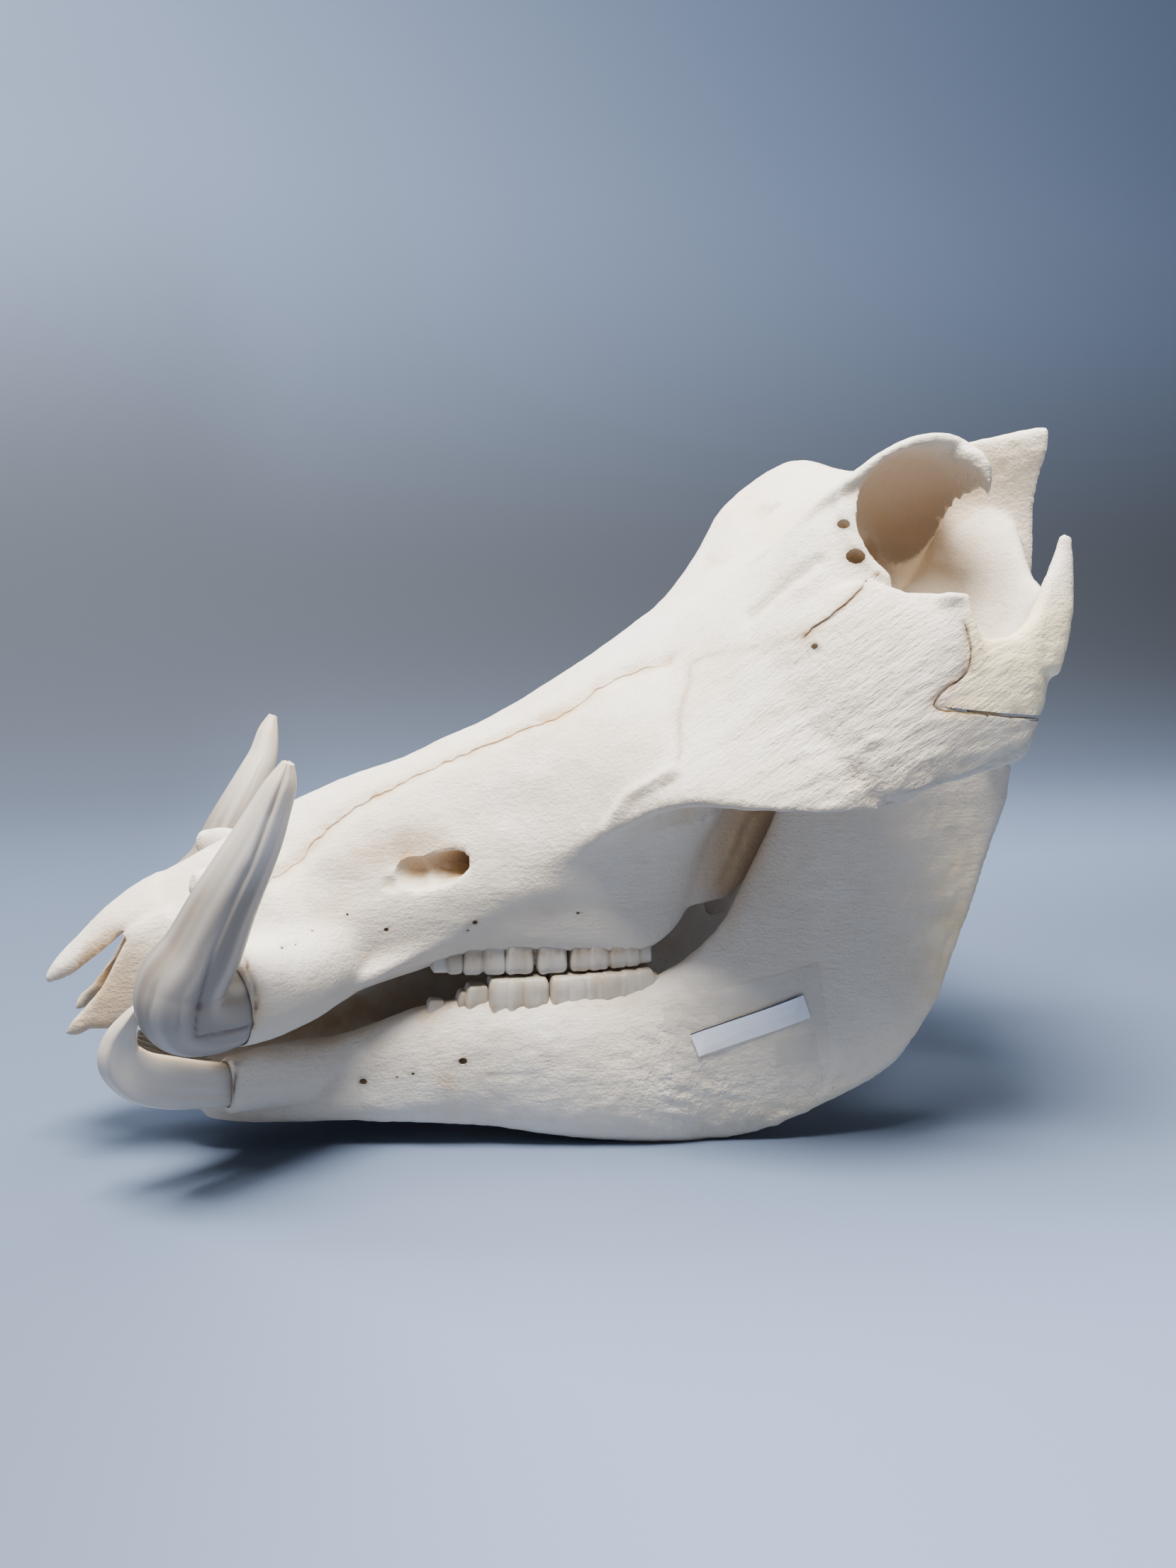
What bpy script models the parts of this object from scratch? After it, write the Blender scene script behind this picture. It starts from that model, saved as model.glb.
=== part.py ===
"""Warthog skull, life size, at rest on its lower jaw.

Metres, +Z up, the nose towards -X, the animal's left side at -Y. The origin is on the surface that the jaw
rests on, under the middle of the skull. Points and sizes below are in millimetres and are scaled by MM.
The upper skull is skinned over a few anatomical lines, fused, carved and then parted along the cheekbone sutures.
"""

import bmesh
import bpy
import numpy as np
from mathutils import Matrix

MM = 0.001

# Driving sizes
JOINT_GAP = 0.4
MIDDLE = 23.8
RIGHT_TUSK_SLIMMER = 0.86

# Surface fineness
RING_POINTS = 40
VOXEL = 1.5
BONE_SMOOTHING = 7
CRANIUM_FACES = 7400
MANDIBLE_FACES = 3200

# Anatomical lines of the upper skull, as (x, y, z) on the animal's right side, mirrored to the left
TOP_LINE = [(-160, 0, 86), (-136, 0, 98), (-110, 0, 111), (-65, 0, 128), (-40, 0, 138), (-15, 0, 153),
            (10, 0, 170), (40, 0, 187), (64, 0, 201), (80, 0, 209)]
RIDGE_LINE = [(-160, 12, 80), (-136, 15, 91), (-110, 17, 104), (-65, 18, 124), (-22, 22, 144), (10, 29, 160),
              (25, 35, 174), (40, 42, 190), (50, 47, 203), (64, 50, 215), (80, 52, 224)]
CREST_LINE = [(-160, 19, 62), (-136, 33, 64), (-118, 37, 66), (-95, 34.5, 72), (-60, 39.5, 84), (-35, 45, 96),
              (-18, 53, 107), (0, 69, 118), (20, 84, 118), (40, 93, 117.5), (64, 96, 118.5), (80, 93, 124)]
VAULT_LINE = [(-160, 19, 55), (-118, 37, 57), (-95, 34.5, 64), (-60, 38.5, 76), (-35, 42, 88), (-18, 46, 98),
              (0, 50, 108), (20, 54, 120), (40, 58, 138), (64, 60, 166), (80, 62, 184)]
WALL_LINE = [(-160, 18, 50), (-118, 36, 51), (-60, 36.5, 70), (-20, 41, 82), (5, 42, 88), (20, 42, 102),
             (40, 38, 130), (64, 30, 160), (80, 30, 180)]
GUM_LINE = [(-160, 16, 44), (-136, 33, 46), (-116, 33, 47.5), (-94, 29, 54), (-74, 30, 60), (-57, 34, 64),
            (-20, 38, 63.5), (3, 39, 64), (13, 37, 74), (30, 32, 104), (64, 22, 126), (80, 20, 150)]
PALATE_LINE = [(-160, 0, 44), (-116, 0, 50), (-74, 0, 64), (-30, 0, 72), (3, 0, 75), (14, 0, 80), (30, 0, 104),
               (64, 0, 126), (80, 0, 150)]


def line_at(line, x):
    """The (y, z) of a smooth anatomical line at one place along the skull."""
    knots = np.array(line, float)
    places = knots[:, 0]
    slopes = np.gradient(knots[:, 1:], places, axis=0)
    i = int(np.clip(np.searchsorted(places, x) - 1, 0, len(places) - 2))
    step = places[i + 1] - places[i]
    t = np.clip((x - places[i]) / step, 0, 1)
    return ((2 * t**3 - 3 * t**2 + 1) * knots[i, 1:] + (t**3 - 2 * t**2 + t) * step * slopes[i]
            + (3 * t**2 - 2 * t**3) * knots[i + 1, 1:] + (t**3 - t**2) * step * slopes[i + 1])


def spline(points, count, closed=False):
    """Count points along a smooth curve through the given points."""
    p = np.array(points, float)
    if closed:
        p = np.vstack([p[-1], p, p[0], p[1]])
    else:
        p = np.vstack([2 * p[0] - p[1], p, 2 * p[-1] - p[-2]])
    spans = len(p) - 3
    made = []
    for u in np.linspace(0, spans, count, endpoint=not closed):
        i = min(int(u), spans - 1)
        t = u - i
        a, b, c, d = p[i:i + 4]
        made.append(0.5 * (2 * b + (c - a) * t + (2 * a - 5 * b + 4 * c - d) * t**2
                           + (3 * b - a - 3 * c + d) * t**3))
    return np.array(made)


def mesh_object(name, points, faces):
    """A mesh object from points in millimetres, its faces turned outwards."""
    mesh = bpy.data.meshes.new(name)
    mesh.from_pydata([tuple(p) for p in np.asarray(points) * MM], [], faces)
    shell = bmesh.new()
    shell.from_mesh(mesh)
    bmesh.ops.recalc_face_normals(shell, faces=shell.faces)
    shell.to_mesh(mesh)
    shell.free()
    obj = bpy.data.objects.new(name, mesh)
    bpy.context.scene.collection.objects.link(obj)
    return obj


def loft(name, rings):
    """A closed body skinned over rings of equally many points."""
    count = len(rings[0])
    points = np.vstack([*rings, np.mean(rings[0], axis=0), np.mean(rings[-1], axis=0)])
    faces = []
    for i in range(len(rings) - 1):
        for j in range(count):
            k = (j + 1) % count
            faces.append((i * count + j, i * count + k, (i + 1) * count + k, (i + 1) * count + j))
    last = (len(rings) - 1) * count
    for j in range(count):
        k = (j + 1) % count
        faces.append((len(points) - 2, k, j))
        faces.append((len(points) - 1, last + j, last + k))
    return mesh_object(name, points, faces)


def mirrored(obj, name):
    """The same piece on the other side of the skull."""
    points = np.array([v.co for v in obj.data.vertices]) / MM
    points[:, 1] *= -1
    return mesh_object(name, points, [tuple(reversed(f.vertices)) for f in obj.data.polygons])


def sweep(name, path, sizes, count=24, rings=18, power=2.0, up=(0, 0, 1)):
    """A tapering horn or bar along a path, its (width, height) given at each point of the path."""
    centres = spline(path, rings)
    radii = spline(sizes, rings) / 2
    tangents = np.gradient(centres, axis=0)
    angles = np.linspace(0, 2 * np.pi, count, endpoint=False)
    c, s = np.cos(angles), np.sin(angles)
    across = np.sign(c) * np.abs(c) ** (2 / power)
    along = np.sign(s) * np.abs(s) ** (2 / power)
    over = np.array(up, float)
    made = []
    for centre, tangent, (wide, high) in zip(centres, tangents, radii):
        ahead = tangent / np.linalg.norm(tangent)
        over = over - ahead * np.dot(over, ahead)
        over /= np.linalg.norm(over)
        side = np.cross(over, ahead)
        made.append(centre + np.outer(across * wide, side) + np.outer(along * high, over))
    return loft(name, made)


def ellipsoid(name, centre, radii):
    """A round lump or cutter."""
    bpy.ops.mesh.primitive_uv_sphere_add(segments=28, ring_count=16, location=[c * MM for c in centre])
    obj = bpy.context.object
    obj.name = name
    obj.scale = [r * MM for r in radii]
    bpy.ops.object.transform_apply(location=True, rotation=False, scale=True)
    return obj


def side_prism(name, outline, near, far):
    """A straight prism along Y between two planes, from an (x, z) outline."""
    count = len(outline)
    points = [(x, y, z) for y in (near, far) for x, z in outline]
    faces = [tuple(range(count)), tuple(range(2 * count - 1, count - 1, -1))]
    faces += [(i, (i + 1) % count, count + (i + 1) % count, count + i) for i in range(count)]
    return mesh_object(name, points, faces)


def both_sides(obj):
    """The piece and its mirror image."""
    return [obj, mirrored(obj, obj.name + "_other")]


def joined(name, pieces):
    """One object that holds all the pieces' meshes."""
    with bpy.context.temp_override(active_object=pieces[0], selected_editable_objects=pieces):
        bpy.ops.object.join()
    pieces[0].name = name
    return pieces[0]


def apply_modifiers(obj):
    """Keeps the modified mesh and drops the modifiers."""
    graph = bpy.context.evaluated_depsgraph_get()
    mesh = bpy.data.meshes.new_from_object(obj.evaluated_get(graph))
    obj.modifiers.clear()
    obj.data = mesh


def fuse(obj, voxel=VOXEL, smoothing=BONE_SMOOTHING):
    """Melts overlapping pieces into one skin, as bone grows."""
    remesh = obj.modifiers.new("melt", "REMESH")
    remesh.mode = "VOXEL"
    remesh.voxel_size = voxel * MM
    smooth = obj.modifiers.new("soften", "SMOOTH")
    smooth.factor = 0.5
    smooth.iterations = smoothing
    apply_modifiers(obj)


def boolean(obj, other, operation):
    """Cuts, joins or intersects with a closed mesh, which is then removed."""
    step = obj.modifiers.new(operation.lower(), "BOOLEAN")
    step.operation = operation
    step.solver = "MANIFOLD"
    step.object = other
    apply_modifiers(obj)
    bpy.data.objects.remove(other)


def thin_out(obj, faces):
    """Brings a fine mesh down to about that many triangles."""
    tris = sum(len(p.vertices) - 2 for p in obj.data.polygons)
    step = obj.modifiers.new("fewer", "DECIMATE")
    step.ratio = min(1.0, faces / tris)
    step.use_collapse_triangulate = True
    apply_modifiers(obj)


def skull_section(x):
    """The ring of the face at one place, through its anatomical lines."""
    top, ridge, crest = (line_at(line, x) for line in (TOP_LINE, RIDGE_LINE, CREST_LINE))
    vault, wall, gum, palate = (line_at(line, x) for line in (VAULT_LINE, WALL_LINE, GUM_LINE, PALATE_LINE))
    roof = (0.55 * ridge[0], top[1] + 0.22 * (ridge[1] - top[1]))
    upper = ridge + 0.33 * (crest - ridge) + (3, 2)
    side = ridge + 0.68 * (crest - ridge) + (3, 1)
    rim = crest + 0.25 * (vault - crest) - (0, 2)
    half = [top, roof, ridge, upper, side, crest, rim, vault, wall, gum, gum - (5, 2), gum - (11, -1),
            (0.4 * gum[0], 0.5 * (gum[1] + palate[1]) + 1), palate]
    ring = [*half, *[(-y, z) for y, z in half[-2:0:-1]]]
    yz = spline(ring, 2 * RING_POINTS, closed=True)
    return np.column_stack([np.full(len(yz), x), yz])


def make_face():
    """The snout, palate and cheeks as far back as the front of the eye sockets."""
    rings = []
    for x in np.linspace(-158, 70, 62):
        ring = skull_section(x)
        ring[:, 1] *= 1 - 0.045 * np.clip((x - 44) / 20, 0, 1)
        rings.append(ring)
    return loft("face", rings)


def section_loft(name, stations):
    """A body through half sections (x, [(y, z) ...]) that run from its top middle round to its bottom middle."""
    rings = []
    for x, half in stations:
        ring = [*half, *[(-y, z) for y, z in half[-2:0:-1]]]
        yz = spline(ring, 2 * RING_POINTS, closed=True)
        rings.append(np.column_stack([np.full(len(yz), x), yz]))
    fine = spline([r.ravel() for r in rings], 6 * len(rings)).reshape(-1, 2 * RING_POINTS, 3)
    return loft(name, list(fine))


def plate_loft(name, stations, rings=40, power=2.4, count=28):
    """A thin curved plate through stations (one edge, other edge, thickness, bulge), each edge an (x, y, z)."""
    rows = spline([[*a, *b, thick, bulge] for a, b, thick, bulge in stations], rings)
    angles = np.linspace(0, 2 * np.pi, count, endpoint=False)
    made = []
    for i, row in enumerate(rows):
        a, b, thick, bulge = row[:3], row[3:6], row[6], row[7]
        mid = (rows[:, :3] + rows[:, 3:6]) / 2
        ahead = np.gradient(mid, axis=0)[i]
        across = (b - a) / 2
        out = np.cross(across, ahead)
        out /= np.linalg.norm(out)
        if out[1] < 0:
            out = -out
        c, s = np.cos(angles), np.sin(angles)
        span = np.sign(c) * np.abs(c) ** (2 / power)
        lift = np.sign(s) * np.abs(s) ** (2 / power) * thick / 2 + bulge * (1 - span**2)
        made.append((a + b) / 2 + np.outer(span, across) + np.outer(lift, out))
    return loft(name, made)


def wall_ring(y, outline):
    """One ring of a body that runs sideways, from its (x, z) outline."""
    xz = spline(outline, 40, closed=True)
    return np.column_stack([xz[:, 0], np.full(len(xz), y), xz[:, 1]])


def make_nasal_beak():
    """The free front ends of the nasal bones."""
    return section_loft("nasals", [
        (-154, [(0, 90), (7, 88.5), (13, 84), (15, 80), (14, 74), (8, 73), (0, 74)]),
        (-162, [(0, 85.5), (7, 84), (12.5, 80.5), (14.5, 77), (14, 71.5), (8, 71), (0, 73)]),
        (-170, [(0, 79.5), (7, 78), (12, 75), (13.2, 71), (12.8, 66), (7, 66.5), (0, 68.5)]),
        (-179, [(0, 71), (5.5, 69.5), (9.5, 66.5), (10, 63), (9, 60), (4, 61), (0, 62)]),
        (-186, [(0, 63.8), (3.5, 63), (6, 60.5), (6, 58), (5, 56.5), (2.5, 57), (0, 58)]),
        (-190, [(0, 58), (1, 57.6), (1.8, 57), (2, 56), (1.6, 55.4), (0.8, 55.2), (0, 55.2)])])


def make_premaxillae():
    """The two prongs that hold the upper lip, with the floor of the nose between them."""
    prong = plate_loft("prong", [
        ((-146, 24, 46), (-150, 17, 82), 10, 0),
        ((-160, 19.5, 45), (-163, 17.5, 76), 7, 0),
        ((-170, 18.5, 44), (-168, 16.5, 69), 6, 0),
        ((-176, 17, 43.5), (-172.5, 15.5, 59), 5, 0),
        ((-180, 15, 42), (-177, 14.5, 51), 4.5, 0),
        ((-184, 12.5, 41), (-182.5, 12.5, 44), 3, 0)])
    floor = section_loft("floor", [
        (-150, [(0, 52), (10, 52), (17, 52), (19, 48), (16, 45), (8, 46), (0, 46)]),
        (-166, [(0, 49), (8, 50), (15, 51), (17, 47), (15, 44.5), (8, 45), (0, 45)]),
        (-174, [(0, 46), (6, 47), (13, 48), (15, 46), (13, 44), (6, 44), (0, 43.6)])])
    return [*both_sides(prong), floor]


def make_sockets():
    """The swollen sockets of the upper tusks, each with its bony flange."""
    wall = sweep("socket", [(-92, 20, 66), (-108, 30.5, 64.5), (-120, 37.5, 62.5), (-129.5, 41.5, 61)],
                 [(24, 24), (29, 30), (29, 30), (27, 27)], power=2.3)
    flange = sweep("flange", [(-106, 14, 84), (-121, 25, 87), (-134, 34.5, 90.5), (-142, 39, 93.5)],
                   [(10, 20), (14, 22), (12, 17), (6, 7)])
    swelling = ellipsoid("swelling", (-121, 29, 74), (22, 12, 17))
    return [*both_sides(wall), *both_sides(flange), *both_sides(swelling)]


def make_braincase():
    """The braincase, from between the eye sockets to the back of the head."""
    return section_loft("braincase", [
        (40, [(0, 187), (20, 187), (28, 182), (22, 165), (21, 140), (14, 112), (0, 108)]),
        (60, [(0, 198), (22, 199), (32, 196), (25, 176), (25, 150), (15, 124), (0, 120)]),
        (80, [(0, 210), (22, 212), (34, 212), (28, 192), (33, 160), (20, 132), (0, 129)]),
        (95, [(0, 218), (20, 220), (31, 221), (27, 202), (39, 168), (25, 138), (0, 135)]),
        (106, [(0, 223), (18, 225), (27, 226), (25, 206), (40, 172), (28, 140), (0, 138)]),
        (116, [(0, 226), (22, 228.5), (32, 229), (28, 208), (42, 174), (30, 142), (0, 141)]),
        (124, [(0, 226.5), (28, 230), (41, 230.5), (36, 208), (41, 180), (32, 144), (0, 144)]),
        (130.5, [(0, 227), (32, 230), (50, 231.5), (43.5, 207), (44, 182), (33, 146), (0, 147)])])


def make_forehead():
    """The wide roof over the eye sockets and its two small processes behind the eyes."""
    def half(rim, top, middle):
        return [(0, middle), (0.5 * rim, middle + 0.4 * (top - middle)), (rim - 5, top - 0.7), (rim - 0.6, top),
                (rim, top - 3.5), (rim - 5, top - 7), (rim - 14, top - 12), (24, top - 24), (0, top - 36)]
    roof = section_loft("roof", [
        (44, half(43, 196, 189)), (54, half(49, 209.5, 195)), (63, half(52, 216.5, 201)),
        (73, half(54, 224, 208)), (84, half(55.5, 228.8, 215)), (94, half(56.5, 230, 220)),
        (101, half(56.5, 227.5, 222)), (106, half(54, 222, 221))])
    process = sweep("postorbital", [(92, 46, 224), (99, 54, 224), (103, 59, 218.5), (104.5, 61.5, 209)],
                    [(9, 7), (8, 7), (7.5, 5.5), (3, 3)], up=(0, 1, 0))
    web = sweep("web", [(103, 57.5, 215), (98, 46, 214), (92, 33, 206), (88, 29, 188), (82, 28, 166)],
                [(6, 6), (10, 18), (16, 26), (16, 16), (8, 8)], up=(0, 0, 1))
    return [roof, *both_sides(process), *both_sides(web)]


def make_arch():
    """The cheekbone arch on the right side, with the tall spike at its rear and its root on the braincase."""
    plate = plate_loft("cheek", [
        ((26, 68, 122), (28, 42, 166), 9, 0),
        ((42, 85, 119.5), (46, 59, 178), 9, 1),
        ((56, 92.5, 119), (60, 69, 184), 9, 2.5),
        ((68, 93.5, 121), (70, 75.5, 180.5), 8.5, 3),
        ((78, 93, 123.5), (78, 82, 180), 8, 2.5),
        ((86, 92, 125), (84.5, 87, 180), 7.5, 1.5),
        ((90.5, 91.5, 126.5), (88, 89, 168), 8, 1),
        ((97, 91, 128), (94, 90, 166.5), 8, 1),
        ((105, 89, 131), (101, 88.5, 168), 9, 1),
        ((110, 86.5, 142), (108, 88, 175), 8, 0),
        ((113.5, 84, 151), (113.5, 85, 186), 6, 0)])
    lip = sweep("lip", [(80, 84.5, 177), (83.5, 87.5, 181.5)], [(7, 7), (5, 4)], rings=6)
    spike = sweep("spike", [(108, 88, 158), (114, 86, 172), (118.5, 83, 185), (121.5, 80.3, 197.5)],
                  [(9, 17), (7.5, 14), (6, 8.5), (3, 4)], up=(1, 0, 0))
    root = loft("root", [wall_ring(y, outline) for y, outline in [
        (30, [(122, 212), (127, 200), (128, 170), (120, 143), (88, 144), (98, 165), (108, 190)]),
        (42, [(124, 201), (128, 196), (128, 168), (120, 145), (93, 145.5), (102, 162), (113, 185)]),
        (54, [(124, 184), (128, 182), (127, 164), (119, 145), (97, 145.5), (105, 158), (116, 172)]),
        (66, [(121, 180), (125, 179), (124, 164), (117, 146), (100, 146), (107, 158), (115, 169)]),
        (77, [(116.5, 182), (120.5, 182), (120, 165), (114, 147), (102, 147), (108, 158), (113, 170)]),
        (86, [(112, 180), (116, 180), (117, 165), (112, 150), (103, 149), (107, 158), (109, 168)])]])
    return [plate, lip, spike, root]


def make_skull_base():
    """The condyles, hanging processes, ear capsules and the wings beside the throat opening."""
    condyle = ellipsoid("condyle", (134, 14, 153), (8, 9, 12))
    neck = ellipsoid("neck", (126, 0, 154), (9, 20, 14))
    hanging = sweep("paroccipital", [(122, 33, 152), (123, 33, 135), (121, 33, 121), (118, 33, 108)],
                    [(12, 14), (9, 12), (7, 9), (3, 4)], up=(1, 0, 0))
    capsule = ellipsoid("bulla", (105, 25, 131), (13, 9, 14))
    wing = plate_loft("pterygoid", [
        ((12, 22, 104), (52, 20, 124), 9, 0),
        ((20, 20, 92), (47, 19, 108), 7, 0),
        ((25, 18.5, 80), (41, 18, 88), 5.5, 0),
        ((28, 18, 69), (36, 18, 70), 4, 0)], rings=20)
    return [*both_sides(condyle), neck, *both_sides(hanging), *both_sides(capsule), *both_sides(wing)]


def tooth(name, x, y, z, length, width, height):
    """One cheek tooth as a rounded block about its middle."""
    bpy.ops.mesh.primitive_cube_add(size=1, location=[x * MM, y * MM, z * MM])
    obj = bpy.context.object
    obj.name = name
    obj.scale = (length * MM, width * MM, height * MM)
    bpy.ops.object.transform_apply(location=True, rotation=False, scale=True)
    bevel = obj.modifiers.new("round", "BEVEL")
    bevel.width = 1.6 * MM
    bevel.segments = 2
    apply_modifiers(obj)
    return obj


def make_upper_teeth():
    """The cheek teeth of the right side, sunk in the gum line."""
    rows = [(-70, 28.5, 6, 7, 59.5), (-62, 29.5, 8, 9, 58.4), (-52.5, 31, 9, 11, 57.4), (-41, 32, 12, 12.5, 56.8),
            (-24.5, 33, 18, 13.5, 57), (-6, 33.5, 17, 13, 57.4)]
    return [tooth("upper", x, y, low + 8, length, width, 16) for x, y, length, width, low in rows]


def make_cranium():
    """The whole upper skull with its cheek teeth, still without its openings."""
    pieces = [make_face(), make_nasal_beak(), make_braincase(), *make_premaxillae(), *make_sockets(),
              *make_forehead(), *make_skull_base()]
    for piece in [*make_arch(), *make_upper_teeth()]:
        pieces += both_sides(piece)
    skull = joined("cranium", pieces)
    fuse(skull)
    return skull


def carve(skull):
    """Opens the eye sockets, nose, throat, cheek holes, brain passage and tusk sockets."""
    cutters = [
        side_prism("nose_slit", [(-161.5, 76.3), (-168, 68.6), (-172, 58.5), (-178, 49.5), (-192, 40), (-195, 50),
                                 (-187, 54.5), (-179, 60), (-170.5, 66.6)], -30, 30),
        sweep("nose", [(-200, 0, 42), (-184, 0, 48), (-172, 0, 57), (-160, 0, 61.5), (-135, 0, 66), (-105, 0, 80)],
              [(20, 14), (21, 15), (23, 18), (25, 20), (21, 22), (8, 10)], rings=30, power=2.6),
        sweep("throat", [(70, 0, 104), (48, 0, 104), (28, 0, 100), (8, 0, 104)],
              [(30, 34), (27, 28), (24, 24), (10, 12)], power=2.6),
        ellipsoid("brain", (134, 0, 160), (26, 11, 8)),
        ellipsoid("hollow", (154, 0, 196), (30, 34, 24))]
    for piece in [ellipsoid("orbit", (84.5, 76, 203.6), (23.3, 48, 24.4)),
                  sweep("infraorbital", [(-100, 50, 91), (-82, 43.5, 92.5), (-67, 37.5, 94), (-42, 29, 99)],
                        [(8, 6), (12, 10), (11, 11), (6, 6)])]:
        cutters += both_sides(piece)
    for cutter in cutters:
        boolean(skull, cutter, "DIFFERENCE")


def make_jaw_half():
    """The right half of the lower jaw: body, ramus, coronoid and condyle, as a fan of sections."""
    body = plate_loft("jaw", [
        ((-141, 13, 10.5), (-139, 15, 29), 12, 0),
        ((-130, 16, 9), (-130, 17, 32.5), 15, 0),
        ((-117, 18, 8.4), (-117, 18.5, 33.5), 16, 0),
        ((-95, 21, 7.7), (-95, 19.5, 37.5), 16, 0),
        ((-72, 25, 7), (-72, 24, 44.5), 17, 1),
        ((-50, 29, 5), (-50, 29, 47.5), 18, 2),
        ((-27, 35, 1.8), (-27, 33, 48), 18.5, 2.5),
        ((-4, 40, -0.8), (-4, 37, 50), 18, 3),
        ((17, 43.5, -1.4), (12, 41, 60), 16, 3),
        ((35, 49, 2), (23, 46, 73), 13, 2),
        ((55, 55, 12), (29, 49, 87), 11, 1),
        ((76, 60, 24), (35, 51, 100), 9.5, 0),
        ((89.5, 62, 42), (40, 52.5, 113), 8.5, 0),
        ((98.5, 61, 62), (45, 53.5, 128), 7.5, 0),
        ((105, 60.5, 80), (55, 55.5, 137), 7, 0),
        ((111, 60, 98), (70, 58, 130), 7, 0),
        ((115.5, 60.5, 112), (88, 59, 128), 8, 0),
        ((117.5, 60, 123), (101, 59, 134), 11, 0)], rings=70)
    condyle = sweep("jaw_condyle", [(109, 45, 133.5), (109, 55, 136), (109, 64, 136), (108.5, 71, 134)],
                    [(11, 7), (13, 10), (13, 10), (10, 6)], up=(0, 0, 1))
    coronoid = sweep("coronoid", [(56, 54, 122), (53, 54.5, 134), (52, 55, 143)], [(6, 22), (5.5, 15), (3, 6)],
                     up=(1, 0, 0), rings=10)
    return [body, condyle, coronoid]


def make_chin():
    """The fused front of the lower jaw, with the stumps of the front teeth."""
    chin = section_loft("chin", [
        (-147, [(0, 25), (8, 26), (15, 27), (18, 22), (14, 17), (7, 15.5), (0, 15)]),
        (-138, [(0, 26), (9, 27.5), (18, 30), (22, 20), (17, 11), (8, 9.5), (0, 9.5)]),
        (-118, [(0, 25), (9, 27), (18, 32), (24, 20), (18, 9.5), (8, 9), (0, 9)]),
        (-95, [(0, 24), (9, 26), (17, 34), (24, 20), (19, 9), (8, 9), (0, 9.5)]),
        (-80, [(0, 20), (8, 21), (14, 27), (20, 20), (17, 10), (8, 10), (0, 12)]),
        (-74, [(0, 17), (5, 17.5), (10, 20), (14, 17), (12, 12), (6, 12), (0, 14)])])
    socket = sweep("low_socket", [(-104, 19, 24), (-118, 24, 26.5), (-131.5, 30.5, 28)],
                   [(16, 24), (16, 21), (13.5, 17)], rings=10)
    incisors = [sweep("incisor", [(-138, y, 23), (-150, y * 0.95, 26.5), (-158, y * 0.85, 30.5), (-163, y * 0.8, 34)],
                      [(5.6, 6), (5.6, 6), (5.4, 4.5), (4.6, 1.8)], count=14, rings=8) for y in (3.3, 9.6)]
    return [chin, *both_sides(socket), *[side for incisor in incisors for side in both_sides(incisor)]]


def make_lower_teeth():
    """The lower cheek teeth of the right side."""
    rows = [(-67, 25.5, 6, 6, 49), (-58.5, 27, 9, 8, 53), (-45, 30, 14, 10, 55.5), (-26, 33, 20, 11, 55.8),
            (-5, 36, 20, 11, 55.8)]
    return [tooth("lower", x, y, high - 8, length, width, 16) for x, y, length, width, high in rows]


def make_mandible():
    """The lower jaw in one piece with its cheek teeth, flattened a little where it stands."""
    pieces = make_chin()
    for piece in [*make_jaw_half(), *make_lower_teeth()]:
        pieces += both_sides(piece)
    jaw = joined("mandible", pieces)
    fuse(jaw)
    return jaw


def make_upper_tusk(extra=0.0, slim=1.0):
    """The right upper tusk, out of its socket and curving up, or a wider one that hollows the socket."""
    path = np.array([(-112, 35, 62), (-125.5, 42.5, 60.5), (-138, 53.5, 62.5), (-144.5, 61.5, 72),
                     (-137, 66, 90), (-127.3, 69, 108), (-119.2, 72, 124), (-114.3, 73, 133.5)], float)
    sizes = np.array([(19, 22), (23, 26), (26, 31), (26, 31), (22, 28), (18, 22), (12, 14), (4.5, 5)]) * slim
    path[4:6, 0] += 12 * (1 - slim)
    path[0] += (extra, -extra, 0)
    return sweep("upper_tusk_right", path, sizes + extra, count=14, rings=20)


def make_lower_tusk(extra=0.0):
    """The right lower tusk, a flat blade that curves up before the upper one, or a wider one for its socket."""
    sizes = [(7, 9), (8.5, 12), (9, 13), (9, 15), (7, 13), (5, 8.5), (2, 2)]
    return sweep("lower_tusk_right", [(-118 + extra, 23 - extra, 27), (-132, 31, 28), (-147, 40, 32), (-159.5, 47.5, 39),
                                      (-165.8, 51.5, 47.5), (-163.6, 53.5, 54.5), (-160.6, 54, 60)],
                 [(a + extra, b + extra) for a, b in sizes], count=12, rings=16)


def outline_grown(outline, by):
    """An (x, z) outline moved outwards by a small distance."""
    p = np.array(outline, float)
    before, after = np.roll(p, 1, axis=0), np.roll(p, -1, axis=0)
    first, second = p - before, after - p
    first /= np.linalg.norm(first, axis=1)[:, None]
    second /= np.linalg.norm(second, axis=1)[:, None]
    turn = np.sign(np.sum(before[:, 0] * p[:, 1] - p[:, 0] * before[:, 1]))
    normals = turn * np.column_stack([first[:, 1] + second[:, 1], -first[:, 0] - second[:, 0]])
    size = np.maximum(np.sum(normals**2, axis=1) / 2, 0.6)
    return p + normals / size[:, None] * by


# The cheekbone's sutures as seen from the side, from the rim of the eye socket forwards, down and back
JUGAL_OUTLINE = [(62, 190), (53, 176), (43, 169.7), (39.7, 167), (28, 163), (17, 150), (8, 141), (1, 134),
                 (0, 128), (-1.5, 120), (0, 111), (60, 111), (124, 111), (124, 141.5), (107, 142.6),
                 (91.5, 144), (73.5, 146.3), (71.8, 148.4), (77.3, 152.8), (84, 158.5), (83.4, 165), (85.2, 173),
                 (91, 176), (91, 196), (64, 196)]
JUGAL_INNER = 45


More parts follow.
